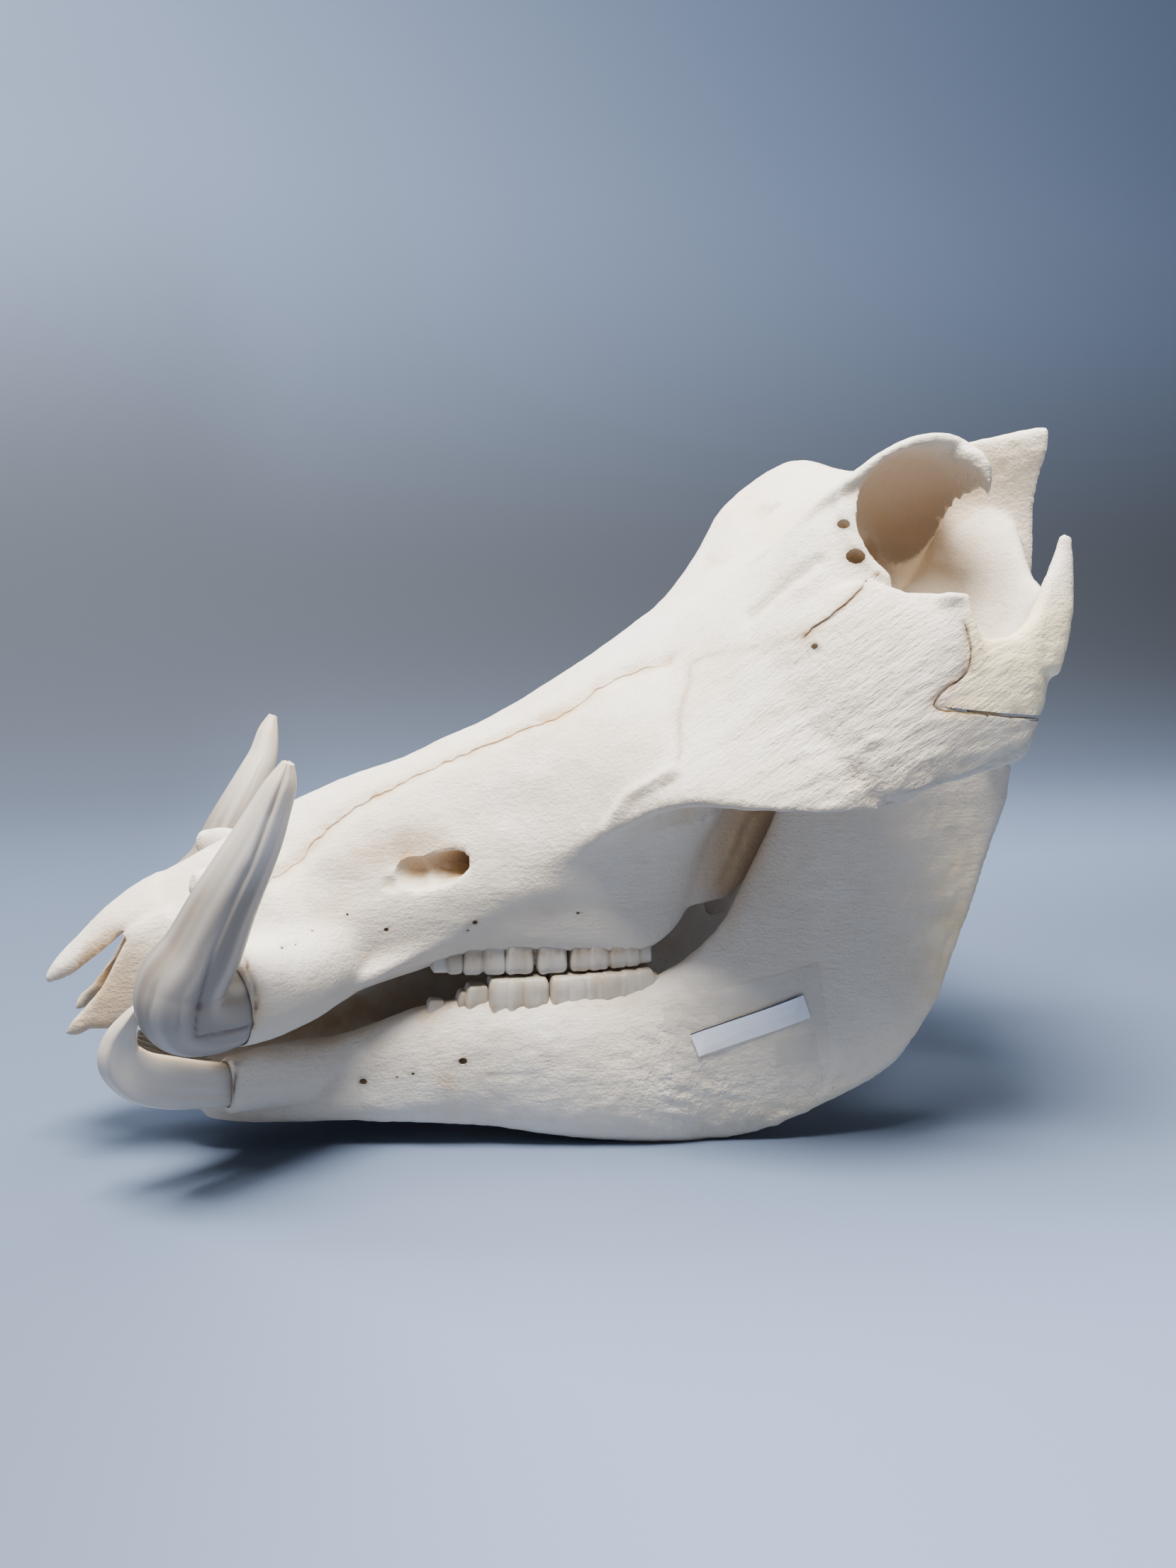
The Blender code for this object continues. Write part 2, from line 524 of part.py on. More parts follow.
def part_jugal(skull, side, name):
    """Parts one cheekbone from the skull along its sutures, with a narrow gap."""
    near, far = (side * JUGAL_INNER, side * 120)
    jugal = skull.copy()
    jugal.data = skull.data.copy()
    bpy.context.scene.collection.objects.link(jugal)
    jugal.name = name
    boolean(jugal, side_prism("inside", JUGAL_OUTLINE, near, far), "INTERSECT")
    grown = outline_grown(JUGAL_OUTLINE, JOINT_GAP)
    boolean(skull, side_prism("around", grown, near - side * JOINT_GAP, far), "DIFFERENCE")
    return jugal


def material(name, colour, roughness):
    """A plain surface colour for one kind of bone or tooth."""
    made = bpy.data.materials.new(name)
    made.use_nodes = True
    shader = made.node_tree.nodes["Principled BSDF"]
    shader.inputs["Base Color"].default_value = (*colour, 1)
    shader.inputs["Roughness"].default_value = roughness
    return made


def main():
    for obj in list(bpy.data.objects):
        bpy.data.objects.remove(obj)
    skull = make_cranium()
    carve(skull)
    thin_out(skull, CRANIUM_FACES)
    jaw = make_mandible()
    thin_out(jaw, MANDIBLE_FACES)
    floor = side_prism("floor_cut", [(-200, -20), (200, -20), (200, 0), (-200, 0)], -100, 100)
    boolean(jaw, floor, "DIFFERENCE")
    left = make_upper_tusk(2 * JOINT_GAP)
    boolean(skull, mirrored(left, "left_bed"), "DIFFERENCE")
    bpy.data.objects.remove(left)
    boolean(skull, make_upper_tusk(2 * JOINT_GAP, RIGHT_TUSK_SLIMMER), "DIFFERENCE")
    for wider in both_sides(make_lower_tusk(2 * JOINT_GAP)):
        boolean(jaw, wider, "DIFFERENCE")
    left = make_upper_tusk()
    mirrored(left, "upper_tusk_left")
    bpy.data.objects.remove(left)
    make_upper_tusk(slim=RIGHT_TUSK_SLIMMER)
    mirrored(make_lower_tusk(), "lower_tusk_left")
    part_jugal(skull, 1, "jugal_right")
    part_jugal(skull, -1, "jugal_left")
    bone = material("bleached_bone", (0.79, 0.73, 0.64), 0.75)
    ivory = material("tusk_ivory", (0.74, 0.70, 0.62), 0.4)
    for obj in bpy.data.objects:
        obj.data.materials.clear()
        obj.data.materials.append(ivory if "tusk" in obj.name else bone)
        obj.data.transform(Matrix.Translation((MIDDLE * MM, 0, 0)))


if __name__ == "__main__":
    main()
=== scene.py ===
"""Looks of a life-size warthog skull: bleached bone, teeth, ivory tusks and a blank strip under clear tape.

The bones are skinned again over the same anatomical lines as the part's solids, but far finer, then carved,
sculpted and stained, and some of their colour is painted shade. Points and sizes are in millimetres in the
skull's own frame, whose zero lies MIDDLE behind the row frame's. A piece is scaled by MM and moved by MIDDLE
as its last step. The nose is towards -X, the animal's left side is at -Y, and +Z is up.
"""

import itertools
import logging
import math
from dataclasses import dataclass
from enum import Enum

import bmesh
import bpy
import numpy as np
from mathutils import Matrix, Vector
from mathutils.bvhtree import BVHTree


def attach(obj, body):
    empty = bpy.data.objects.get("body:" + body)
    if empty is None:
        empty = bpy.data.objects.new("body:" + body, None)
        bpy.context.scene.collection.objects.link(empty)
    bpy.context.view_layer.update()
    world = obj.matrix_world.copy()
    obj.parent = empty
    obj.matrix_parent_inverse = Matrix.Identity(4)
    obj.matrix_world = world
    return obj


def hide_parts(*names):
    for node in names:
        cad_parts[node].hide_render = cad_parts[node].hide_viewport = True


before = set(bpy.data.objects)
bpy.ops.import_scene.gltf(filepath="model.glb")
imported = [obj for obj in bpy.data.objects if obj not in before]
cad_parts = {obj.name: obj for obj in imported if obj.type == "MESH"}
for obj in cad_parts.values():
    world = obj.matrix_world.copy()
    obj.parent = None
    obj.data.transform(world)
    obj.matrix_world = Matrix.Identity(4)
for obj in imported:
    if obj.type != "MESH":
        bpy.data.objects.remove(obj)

logging.basicConfig(level=logging.INFO, format="%(message)s")
log = logging.getLogger("skull")

Line = list[tuple[float, ...]]

MM = 0.001
MIDDLE = 23.8

# Camera of the photograph
PHOTO_HEIGHT = 2212
FOCAL_PIXELS = 2000.0
SENSOR = 36.0
CAMERA_PLACE = (-0.1042, -0.4732, 0.1836)
CAMERA_TURN = (81.85, 0.0, -14.04)

# Surface fineness
RING_POINTS = 40
BONE_VOXEL = 0.95
TOOTH_VOXEL = 0.45
CRANIUM_FACES = 150000
JAW_FACES = 100000
TOOTH_FACES = 60000
EYE_DEPTH = 48.0


class Side(Enum):
    """The two sides of the animal, as the sign of Y."""

    LEFT = -1
    RIGHT = 1


# Lines of the upper skull, as (x, y, z) on the right side, mirrored to the left
TOP_LINE = [(-160, 0, 86), (-136, 0, 98), (-110, 0, 111), (-65, 0, 128), (-40, 0, 138), (-15, 0, 153),
            (10, 0, 170), (40, 0, 187), (64, 0, 201), (80, 0, 209)]
RIDGE_LINE = [(-160, 12, 80), (-136, 15, 91), (-110, 17, 104), (-65, 18, 124), (-22, 22, 144), (10, 29, 160),
              (25, 35, 174), (40, 42, 190), (50, 47, 203), (64, 50, 215), (80, 52, 224)]
CREST_LINE = [(-160, 19, 62), (-136, 33, 64), (-118, 37, 66), (-95, 34.5, 72), (-60, 38.5, 84), (-35, 42.5, 96),
              (-18, 50.5, 107), (0, 69, 118), (20, 84, 118), (40, 93, 117.5), (64, 96, 118.5), (80, 93, 124)]
VAULT_LINE = [(-160, 19, 55), (-118, 37, 57), (-95, 34.5, 64), (-60, 38.5, 76), (-35, 42, 88), (-18, 46, 98),
              (0, 50, 108), (20, 54, 120), (40, 58, 138), (64, 60, 166), (80, 62, 184)]
WALL_LINE = [(-160, 18, 50), (-118, 36, 51), (-60, 36.5, 70), (-20, 41, 82), (5, 42, 88), (20, 42, 102),
             (40, 38, 130), (64, 30, 160), (80, 30, 180)]
GUM_LINE = [(-160, 16, 44), (-136, 33, 46), (-116, 33, 47.5), (-94, 29, 54), (-74, 30, 60), (-57, 34, 65.5),
            (-20, 38, 66.5), (3, 39, 67), (13, 37, 74), (30, 32, 104), (64, 22, 126), (80, 20, 150)]
PALATE_LINE = [(-160, 0, 44), (-116, 0, 50), (-74, 0, 64), (-30, 0, 72), (3, 0, 75), (14, 0, 80), (30, 0, 104),
               (64, 0, 126), (80, 0, 150)]

# Seams between bones on the cheek and snout, as seen on the left side and mirrored to the right
NASAL_SEAM = [(8.9, -30.8, 157.9), (0, -24.4, 154.7), (-10.3, -22.2, 150), (-22.6, -23.7, 142.3),
              (-34, -21.6, 137.2), (-45.4, -19.3, 132.6), (-56.9, -17.9, 127.9), (-68.4, -16.8, 123),
              (-77.7, -17, 118.7), (-91.7, -18.3, 111.3), (-97.5, -19.4, 107.6), (-103.3, -21.2, 103.1),
              (-108, -23.8, 98), (-113.7, -25.9, 94.2), (-119.3, -31.6, 92.2)]
LACRIMAL_CRACK = [(66.6, -65.5, 186.1), (57.6, -72.4, 181), (52.3, -71.7, 176.1), (48.2, -70.6, 172.4),
                  (44.6, -68.5, 169.6), (41.7, -67.2, 166.8)]
LACRIMAL_SEAM = [(41.7, -67.2, 166.8), (37.7, -62.8, 165.6), (32.7, -57.8, 163.9), (25.8, -51.2, 162.1),
                 (18.9, -44.1, 160.1), (13.8, -39.6, 157.7)]
CHEEK_SEAM = [(13.8, -39.6, 157.7), (13.3, -42.6, 154.9), (12.1, -44.9, 152.4), (9.6, -47.7, 148.1),
              (7.5, -50.7, 144), (5.5, -55.7, 137.8), (4.4, -60.9, 131.8), (2.5, -63.2, 127.8),
              (0.7, -65.4, 123.8), (-1.1, -64.3, 121.9)]
ARCH_SEAM = [(82.6, -91.1, 171.1), (83.1, -92.3, 166.9), (84, -92.6, 162.8), (82.8, -93.8, 157.6),
             (79.9, -93.1, 154.5), (76.9, -93.7, 152.9), (74.3, -93.5, 150.8), (72.2, -93, 147.6),
             (73.4, -94.2, 146.3), (78.9, -94.8, 145.6), (92.9, -90.7, 143.9), (98.2, -93.8, 143.4),
             (107.5, -89.5, 142.6), (120, -84, 141.8)]
SOCKET_CRACK = [(-127.6, -51.3, 74.2), (-126.7, -57, 70.2), (-125.4, -58.5, 67.4), (-124.7, -59.2, 64.3),
                (-124.7, -59.3, 60), (-125.6, -58.3, 55.5), (-126.9, -58.6, 53.5)]
LOW_CRACK = [(-131.3, -34.3, 34.8), (-131.4, -36.4, 31), (-132.2, -36.2, 26.4), (-134.9, -35.5, 23.6),
             (-138.1, -37.1, 23.1)]
CREST_END = [(1.3, -63.5, 126.1), (-4.5, -60.3, 122.2), (-10.3, -54.7, 117.8), (-13.7, -53.1, 112.6),
             (-16.7, -51.3, 106.6)]
RAGGED_EDGE = [(3.3, -47.9, 105.1), (9.7, -47.9, 107.2), (16.7, -46.2, 107.5), (27, -44, 110), (38, -43, 114)]
REAR_CRACK = [(49, -43, 124), (45.6, -43, 118), (34.3, -42, 107), (30.4, -41, 96), (27, -40, 86)]
LACRIMAL_GROOVE = [(50, -57, 189), (45.2, -55.1, 185.7), (41.5, -52.6, 182.4), (37.6, -50.6, 178.6),
                   (31.5, -48.1, 172.4)]
JAW_STREAK = [(-71.4, -29.4, 42.4), (-69.7, -33.4, 36.4), (-66.7, -35.5, 29.7), (-65.3, -36, 22.6),
              (-64.2, -33.9, 12.2)]


def line_at(line: Line, x: float) -> np.ndarray:
    """The (y, z) of a smooth anatomical line at one place along the skull.

    Args:
        line: the line's points, in order along X.
        x: the place, in millimetres.

    Returns:
        The two coordinates there.
    """
    knots = np.array(line, float)
    places = knots[:, 0]
    slopes = np.gradient(knots[:, 1:], places, axis=0)
    i = int(np.clip(np.searchsorted(places, x) - 1, 0, len(places) - 2))
    step = places[i + 1] - places[i]
    t = np.clip((x - places[i]) / step, 0, 1)
    return ((2 * t**3 - 3 * t**2 + 1) * knots[i, 1:] + (t**3 - 2 * t**2 + t) * step * slopes[i]
            + (3 * t**2 - 2 * t**3) * knots[i + 1, 1:] + (t**3 - t**2) * step * slopes[i + 1])


def spline(points: Line, count: int, closed: bool = False) -> np.ndarray:
    """Points along a smooth curve through the given points.

    Args:
        points: what the curve passes through.
        count: how many points to give back.
        closed: whether the curve is a ring.

    Returns:
        The points, one a row.
    """
    p = np.array(points, float)
    if closed:
        p = np.vstack([p[-1], p, p[0], p[1]])
    else:
        p = np.vstack([2 * p[0] - p[1], p, 2 * p[-1] - p[-2]])
    spans = len(p) - 3
    made = []
    for u in np.linspace(0, spans, count, endpoint=not closed):
        i = min(int(u), spans - 1)
        t = u - i
        a, b, c, d = p[i:i + 4]
        made.append(0.5 * (2 * b + (c - a) * t + (2 * a - 5 * b + 4 * c - d) * t**2
                           + (3 * b - a - 3 * c + d) * t**3))
    return np.array(made)


def mesh_object(name: str, points: np.ndarray, faces: list[tuple[int, ...]]) -> bpy.types.Object:
    """A mesh object from points in millimetres, its faces turned outwards."""
    mesh = bpy.data.meshes.new(name)
    mesh.from_pydata([tuple(p) for p in np.asarray(points) * MM], [], faces)
    shell = bmesh.new()
    shell.from_mesh(mesh)
    bmesh.ops.recalc_face_normals(shell, faces=shell.faces)
    shell.to_mesh(mesh)
    shell.free()
    obj = bpy.data.objects.new(name, mesh)
    bpy.context.scene.collection.objects.link(obj)
    return obj


def loft(name: str, rings: list[np.ndarray]) -> bpy.types.Object:
    """A closed body skinned over rings of equally many points."""
    count = len(rings[0])
    points = np.vstack([*rings, np.mean(rings[0], axis=0), np.mean(rings[-1], axis=0)])
    faces = []
    for i in range(len(rings) - 1):
        for j in range(count):
            k = (j + 1) % count
            faces.append((i * count + j, i * count + k, (i + 1) * count + k, (i + 1) * count + j))
    last = (len(rings) - 1) * count
    for j in range(count):
        k = (j + 1) % count
        faces.append((len(points) - 2, k, j))
        faces.append((len(points) - 1, last + j, last + k))
    return mesh_object(name, points, faces)


def turned_out(obj: bpy.types.Object) -> None:
    """Turns every face of a closed mesh outwards."""
    shell = bmesh.new()
    shell.from_mesh(obj.data)
    bmesh.ops.recalc_face_normals(shell, faces=shell.faces)
    shell.to_mesh(obj.data)
    shell.free()


def mirrored(obj: bpy.types.Object, name: str) -> bpy.types.Object:
    """The same piece on the other side of the skull."""
    points = coords(obj)
    points[:, 1] *= -1
    return mesh_object(name, points, [tuple(reversed(f.vertices)) for f in obj.data.polygons])


def sweep_rings(path: Line, sizes: Line, count: int = 24, rings: int = 18, power: float = 2.0,
                up: tuple[float, float, float] = (0, 0, 1)) -> list[np.ndarray]:
    """The rings of a tapering horn or bar along a path.

    Args:
        path: the middle of the bar, point by point.
        sizes: its (width, height) at each point of the path.
        count: points in a ring.
        rings: how many rings.
        power: 2 for a round section, more for a squarer one.
        up: the way its height points at the first ring.

    Returns:
        The rings, from first to last.
    """
    centres = spline(path, rings)
    radii = spline(sizes, rings) / 2
    tangents = np.gradient(centres, axis=0)
    angles = np.linspace(0, 2 * np.pi, count, endpoint=False)
    c, s = np.cos(angles), np.sin(angles)
    across = np.sign(c) * np.abs(c) ** (2 / power)
    along = np.sign(s) * np.abs(s) ** (2 / power)
    over = np.array(up, float)
    made = []
    for centre, tangent, (wide, high) in zip(centres, tangents, radii):
        ahead = tangent / np.linalg.norm(tangent)
        over = over - ahead * np.dot(over, ahead)
        over /= np.linalg.norm(over)
        side = np.cross(over, ahead)
        made.append(centre + np.outer(across * wide, side) + np.outer(along * high, over))
    return made


def sweep(name: str, path: Line, sizes: Line, count: int = 24, rings: int = 18, power: float = 2.0,
          up: tuple[float, float, float] = (0, 0, 1)) -> bpy.types.Object:
    """A tapering horn or bar along a path, its (width, height) given at each point of the path."""
    return loft(name, sweep_rings(path, sizes, count, rings, power, up))


def ellipsoid(name: str, centre: tuple[float, ...], radii: tuple[float, ...]) -> bpy.types.Object:
    """A round lump or cutter."""
    bpy.ops.mesh.primitive_uv_sphere_add(segments=48, ring_count=28, location=[c * MM for c in centre])
    obj = bpy.context.object
    obj.name = name
    obj.scale = [r * MM for r in radii]
    bpy.ops.object.transform_apply(location=True, rotation=False, scale=True)
    return obj


def side_prism(name: str, outline: Line, start: float, end: float) -> bpy.types.Object:
    """A straight prism along Y between two planes, from an (x, z) outline."""
    count = len(outline)
    points = [(x, y, z) for y in (start, end) for x, z in outline]
    faces = [tuple(range(count)), tuple(range(2 * count - 1, count - 1, -1))]
    faces += [(i, (i + 1) % count, count + (i + 1) % count, count + i) for i in range(count)]
    return mesh_object(name, np.array(points), faces)


def section_loft(name: str, stations: list[tuple[float, Line]]) -> bpy.types.Object:
    """A body through half sections (x, [(y, z) ...]) that run from top middle round to bottom middle."""
    rings = []
    for x, half in stations:
        ring = [*half, *[(-y, z) for y, z in half[-2:0:-1]]]
        yz = spline(ring, 2 * RING_POINTS, closed=True)
        rings.append(np.column_stack([np.full(len(yz), x), yz]))
    fine = spline([r.ravel() for r in rings], 6 * len(rings)).reshape(-1, 2 * RING_POINTS, 3)
    return loft(name, list(fine))


def plate_loft(name: str, stations: list[tuple], rings: int = 40, power: float = 2.4) -> bpy.types.Object:
    """A thin curved plate.

    Args:
        name: the object's name.
        stations: (one edge, other edge, thickness, bulge) along the plate, each edge an (x, y, z).
        rings: how many rings along it.
        power: squareness of its edges.

    Returns:
        The plate.
    """
    rows = spline([[*a, *b, thick, bulge] for a, b, thick, bulge in stations], rings)
    angles = np.linspace(0, 2 * np.pi, 36, endpoint=False)
    c, s = np.cos(angles), np.sin(angles)
    span = np.sign(c) * np.abs(c) ** (2 / power)
    lift = np.sign(s) * np.abs(s) ** (2 / power)
    ahead = np.gradient((rows[:, :3] + rows[:, 3:6]) / 2, axis=0)
    made = []
    for row, forward in zip(rows, ahead):
        a, b, thick, bulge = row[:3], row[3:6], row[6], row[7]
        across = (b - a) / 2
        out = np.cross(across, forward)
        out /= np.linalg.norm(out)
        if out[1] < 0:
            out = -out
        rise = lift * thick / 2 + bulge * (1 - span**2)
        made.append((a + b) / 2 + np.outer(span, across) + np.outer(rise, out))
    return loft(name, made)


def both_sides(obj: bpy.types.Object) -> list[bpy.types.Object]:
    """The piece and its mirror image."""
    return [obj, mirrored(obj, obj.name + "_other")]


def joined(name: str, pieces: list[bpy.types.Object]) -> bpy.types.Object:
    """One object that holds all the pieces' meshes."""
    with bpy.context.temp_override(active_object=pieces[0], selected_editable_objects=pieces):
        bpy.ops.object.join()
    pieces[0].name = name
    return pieces[0]


def apply_modifiers(obj: bpy.types.Object) -> None:
    """Keeps the modified mesh and drops the modifiers."""
    graph = bpy.context.evaluated_depsgraph_get()
    mesh = bpy.data.meshes.new_from_object(obj.evaluated_get(graph))
    obj.modifiers.clear()
    obj.data = mesh


def fuse(obj: bpy.types.Object, voxel: float, soften: float) -> None:
    """Melts overlapping pieces into one skin, as bone grows.

    Args:
        obj: the joined pieces.
        voxel: fineness of the new skin, in millimetres.
        soften: about how far sharp corners are rounded, in millimetres.
    """
    remesh = obj.modifiers.new("melt", "REMESH")
    remesh.mode = "VOXEL"
    remesh.voxel_size = voxel * MM
    smooth = obj.modifiers.new("soften", "SMOOTH")
    smooth.factor = 0.5
    smooth.iterations = max(1, round((soften / voxel) ** 2))
    apply_modifiers(obj)


def boolean(obj: bpy.types.Object, other: bpy.types.Object, operation: str) -> None:
    """Cuts, joins or intersects with a closed mesh, which is then removed."""
    step = obj.modifiers.new(operation.lower(), "BOOLEAN")
    step.operation = operation
    step.solver = "MANIFOLD"
    step.object = other
    apply_modifiers(obj)
    bpy.data.objects.remove(other)


def thin_out(obj: bpy.types.Object, faces: int) -> None:
    """Brings a fine mesh down to about that many triangles."""
    tris = sum(len(p.vertices) - 2 for p in obj.data.polygons)
    if tris <= faces:
        return
    step = obj.modifiers.new("fewer", "DECIMATE")
    step.ratio = faces / tris
    step.use_collapse_triangulate = True
    apply_modifiers(obj)


def coords(obj: bpy.types.Object) -> np.ndarray:
    """Every vertex of the object's mesh, in millimetres."""
    points = np.empty(len(obj.data.vertices) * 3, np.float32)
    obj.data.vertices.foreach_get("co", points)
    return points.reshape(-1, 3).astype(float) / MM


def move_to(obj: bpy.types.Object, points: np.ndarray) -> None:
    """Puts every vertex at its new place, in millimetres."""
    obj.data.vertices.foreach_set("co", (points * MM).astype(np.float32).ravel())
    obj.data.update()


def normals_of(obj: bpy.types.Object) -> np.ndarray:
    """The outward direction at every vertex."""
    made = np.empty(len(obj.data.vertices) * 3, np.float32)
    obj.data.vertex_normals.foreach_get("vector", made)
    return made.reshape(-1, 3).astype(float)


def waves(points: np.ndarray, size: float, seed: int) -> np.ndarray:
    """Smooth random heights between -1 and 1.

    Args:
        points: places in millimetres, already stretched where the hills should be long.
        size: width of one hill, in millimetres.
        seed: which of the many such landscapes.

    Returns:
        One height for each point.
    """
    p = points / size + 17.31 * seed
    cell = np.floor(p).astype(np.int64)
    t = p - cell
    t = t * t * (3 - 2 * t)
    total = np.zeros(len(p))
    for corner in itertools.product((0, 1), repeat=3):
        key = cell + np.array(corner)
        mixed = (key[:, 0] * 73856093) ^ (key[:, 1] * 19349663) ^ (key[:, 2] * 83492791) ^ (seed * 668265263)
        mixed = (mixed ^ (mixed >> 13)) * 1274126177
        mixed = (mixed ^ (mixed >> 16)) & 0xFFFFF
        share = np.prod(np.where(np.array(corner) == 1, t, 1 - t), axis=1)
        total += share * (mixed / 0x7FFFF - 1)
    return total


def distance_to(points: np.ndarray, path: Line) -> np.ndarray:
    """How far each point is from a line on either side of the skull.

    Args:
        points: places, in millimetres.
        path: the line's points, on the left side.

    Returns:
        One distance for each point.
    """
    folded = points * (1, 0, 1) - np.abs(points) * (0, 1, 0)
    p = np.array(path, float)
    best = np.full(len(points), 1e9)
    for a, b in zip(p[:-1], p[1:]):
        step = b - a
        t = np.clip((folded - a) @ step / (step @ step), 0, 1)
        best = np.minimum(best, np.linalg.norm(folded - a - t[:, None] * step, axis=1))
    return best


def near(points: np.ndarray, centre: tuple[float, ...], radii: tuple[float, ...]) -> np.ndarray:
    """1 at the centre of a soft region on either side, fading to 0 past its radii."""
    folded = points * (1, 0, 1) - np.abs(points) * (0, 1, 0)
    return np.exp(-np.sum(((folded - np.array(centre)) / np.array(radii)) ** 2, axis=1))


def stretched(points: np.ndarray, way: tuple[float, float, float], times: float) -> np.ndarray:
    """Places squeezed along one direction, so that a pattern read there is longer along it."""
    axis = np.array(way, float) / np.linalg.norm(way)
    return points - np.outer(points @ axis, axis) * (1 - 1 / times)


def put_values(obj: bpy.types.Object, name: str, values: np.ndarray) -> None:
    """Keeps one number for every vertex under a name that the materials read."""
    made = obj.data.attributes.new(name, "FLOAT", "POINT")
    made.data.foreach_set("value", np.clip(values, 0, 1).astype(np.float32))


def neighbour_mean(obj: bpy.types.Object, points: np.ndarray) -> np.ndarray:
    """The mean place of the vertices joined to each vertex."""
    count = len(points)
    ends = np.empty(len(obj.data.edges) * 2, np.int32)
    obj.data.edges.foreach_get("vertices", ends)
    a, b = ends.reshape(-1, 2).T
    links = np.maximum(np.bincount(a, minlength=count) + np.bincount(b, minlength=count), 1)
    total = np.stack([np.bincount(a, points[b, k], count) + np.bincount(b, points[a, k], count)
                      for k in range(3)], axis=1)
    return total / links[:, None]


def relaxed(obj: bpy.types.Object, share: np.ndarray, times: int) -> None:
    """Smooths the mesh where the share is high, many times over."""
    points = coords(obj)
    for _ in range(times):
        points += 0.8 * share[:, None] * (neighbour_mean(obj, points) - points)
    move_to(obj, points)


def hollows(obj: bpy.types.Object, reach: int) -> tuple[np.ndarray, np.ndarray]:
    """How far each vertex lies in a hollow or on a ridge, in millimetres.

    Args:
        obj: the mesh.
        reach: how many edges away the surroundings are taken from.

    Returns:
        Depth in hollows and height on ridges.
    """
    points = coords(obj)
    mean = points
    for _ in range(reach):
        mean = neighbour_mean(obj, mean)
    depth = np.sum((mean - points) * normals_of(obj), axis=1)
    return np.maximum(depth, 0), np.maximum(-depth, 0)


def into_row_frame(obj: bpy.types.Object) -> None:
    """Moves a piece from the skull's own frame to the row frame, its object staying at the origin."""
    obj.data.transform(Matrix.Translation((MIDDLE * MM, 0, 0)))


def smooth_shaded(obj: bpy.types.Object, sharpest: float) -> None:
    """Shades the piece smooth but for edges sharper than the given angle, in degrees."""
    obj.data.polygons.foreach_set("use_smooth", [True] * len(obj.data.polygons))
    obj.data.set_sharp_from_angle(angle=math.radians(sharpest))


class Tree:
    """Short ways to place and join nodes in one shader or geometry tree."""

    def __init__(self, tree: bpy.types.NodeTree) -> None:
        """Keeps the tree that nodes go to."""
        self.tree = tree

    def node(self, kind: str, **settings: object) -> bpy.types.Node:
        """A new node with some of its settings changed."""
        made = self.tree.nodes.new(kind)
        for name, value in settings.items():
            setattr(made, name, value)
        return made

    def feed(self, socket: bpy.types.NodeSocket, value: object) -> None:
        """Joins a socket to another one, or sets its value."""
        if isinstance(value, bpy.types.NodeSocket):
            self.tree.links.new(value, socket)
        else:
            socket.default_value = value

    def math(self, operation: str, a: object, b: object = 0.0, clamp: bool = False) -> bpy.types.NodeSocket:
        """The result of one sum on two values."""
        made = self.node("ShaderNodeMath", operation=operation, use_clamp=clamp)
        self.feed(made.inputs[0], a)
        self.feed(made.inputs[1], b)
        return made.outputs[0]

    def mix(self, share: object, a: object, b: object, blend: str = "MIX") -> bpy.types.NodeSocket:
        """Two colours mixed."""
        made = self.node("ShaderNodeMix", data_type="RGBA", blend_type=blend)
        self.feed(made.inputs[0], share)
        self.feed(made.inputs[6], a)
        self.feed(made.inputs[7], b)
        return made.outputs[2]

    def band(self, value: object, low: float, high: float) -> bpy.types.NodeSocket:
        """0 below one value and 1 above another, smooth between them."""
        made = self.node("ShaderNodeMapRange", interpolation_type="SMOOTHSTEP")
        self.feed(made.inputs["Value"], value)
        made.inputs["From Min"].default_value = low
        made.inputs["From Max"].default_value = high
        return made.outputs["Result"]

    def noise(self, place: object, scale: float, detail: float = 2.0,
              rough: float = 0.5) -> bpy.types.NodeSocket:
        """Smooth random values over a place."""
        made = self.node("ShaderNodeTexNoise")
        self.feed(made.inputs["Vector"], place)
        made.inputs["Scale"].default_value = scale
        made.inputs["Detail"].default_value = detail
        made.inputs["Roughness"].default_value = rough
        return made.outputs["Fac"]

    def attribute(self, name: str) -> bpy.types.Node:
        """The values that a piece keeps for each of its vertices."""
        return self.node("ShaderNodeAttribute", attribute_name=name)


def seam_tree() -> bpy.types.NodeTree:
    """A geometry tree that turns a line of points into a closed tube, for cutting a seam into bone."""
    tree = bpy.data.node_groups.new("seam tube", "GeometryNodeTree")
    for name, kind, way in [("Geometry", "NodeSocketGeometry", "INPUT"),
                            ("Width", "NodeSocketFloat", "INPUT"),
                            ("Sides", "NodeSocketInt", "INPUT"),
                            ("Material", "NodeSocketMaterial", "INPUT"),
                            ("Geometry", "NodeSocketGeometry", "OUTPUT")]:
        tree.interface.new_socket(name, in_out=way, socket_type=kind)
    w = Tree(tree)
    given = w.node("NodeGroupInput").outputs
    line = w.node("GeometryNodeMeshToCurve")
    w.feed(line.inputs["Mesh"], given["Geometry"])
    girth = w.node("GeometryNodeInputNamedAttribute", data_type="FLOAT")
    girth.inputs["Name"].default_value = "girth"
    ring = w.node("GeometryNodeCurvePrimitiveCircle")
    w.feed(ring.inputs["Resolution"], given["Sides"])
    ring.inputs["Radius"].default_value = 0.5
    tube = w.node("GeometryNodeCurveToMesh")
    w.feed(tube.inputs["Curve"], line.outputs["Curve"])
    w.feed(tube.inputs["Scale"], w.math("MULTIPLY", girth.outputs["Attribute"], given["Width"]))
    w.feed(tube.inputs["Profile Curve"], ring.outputs["Curve"])
    tube.inputs["Fill Caps"].default_value = True
    finish_tree(w, tube.outputs["Mesh"], given["Material"])
    return tree


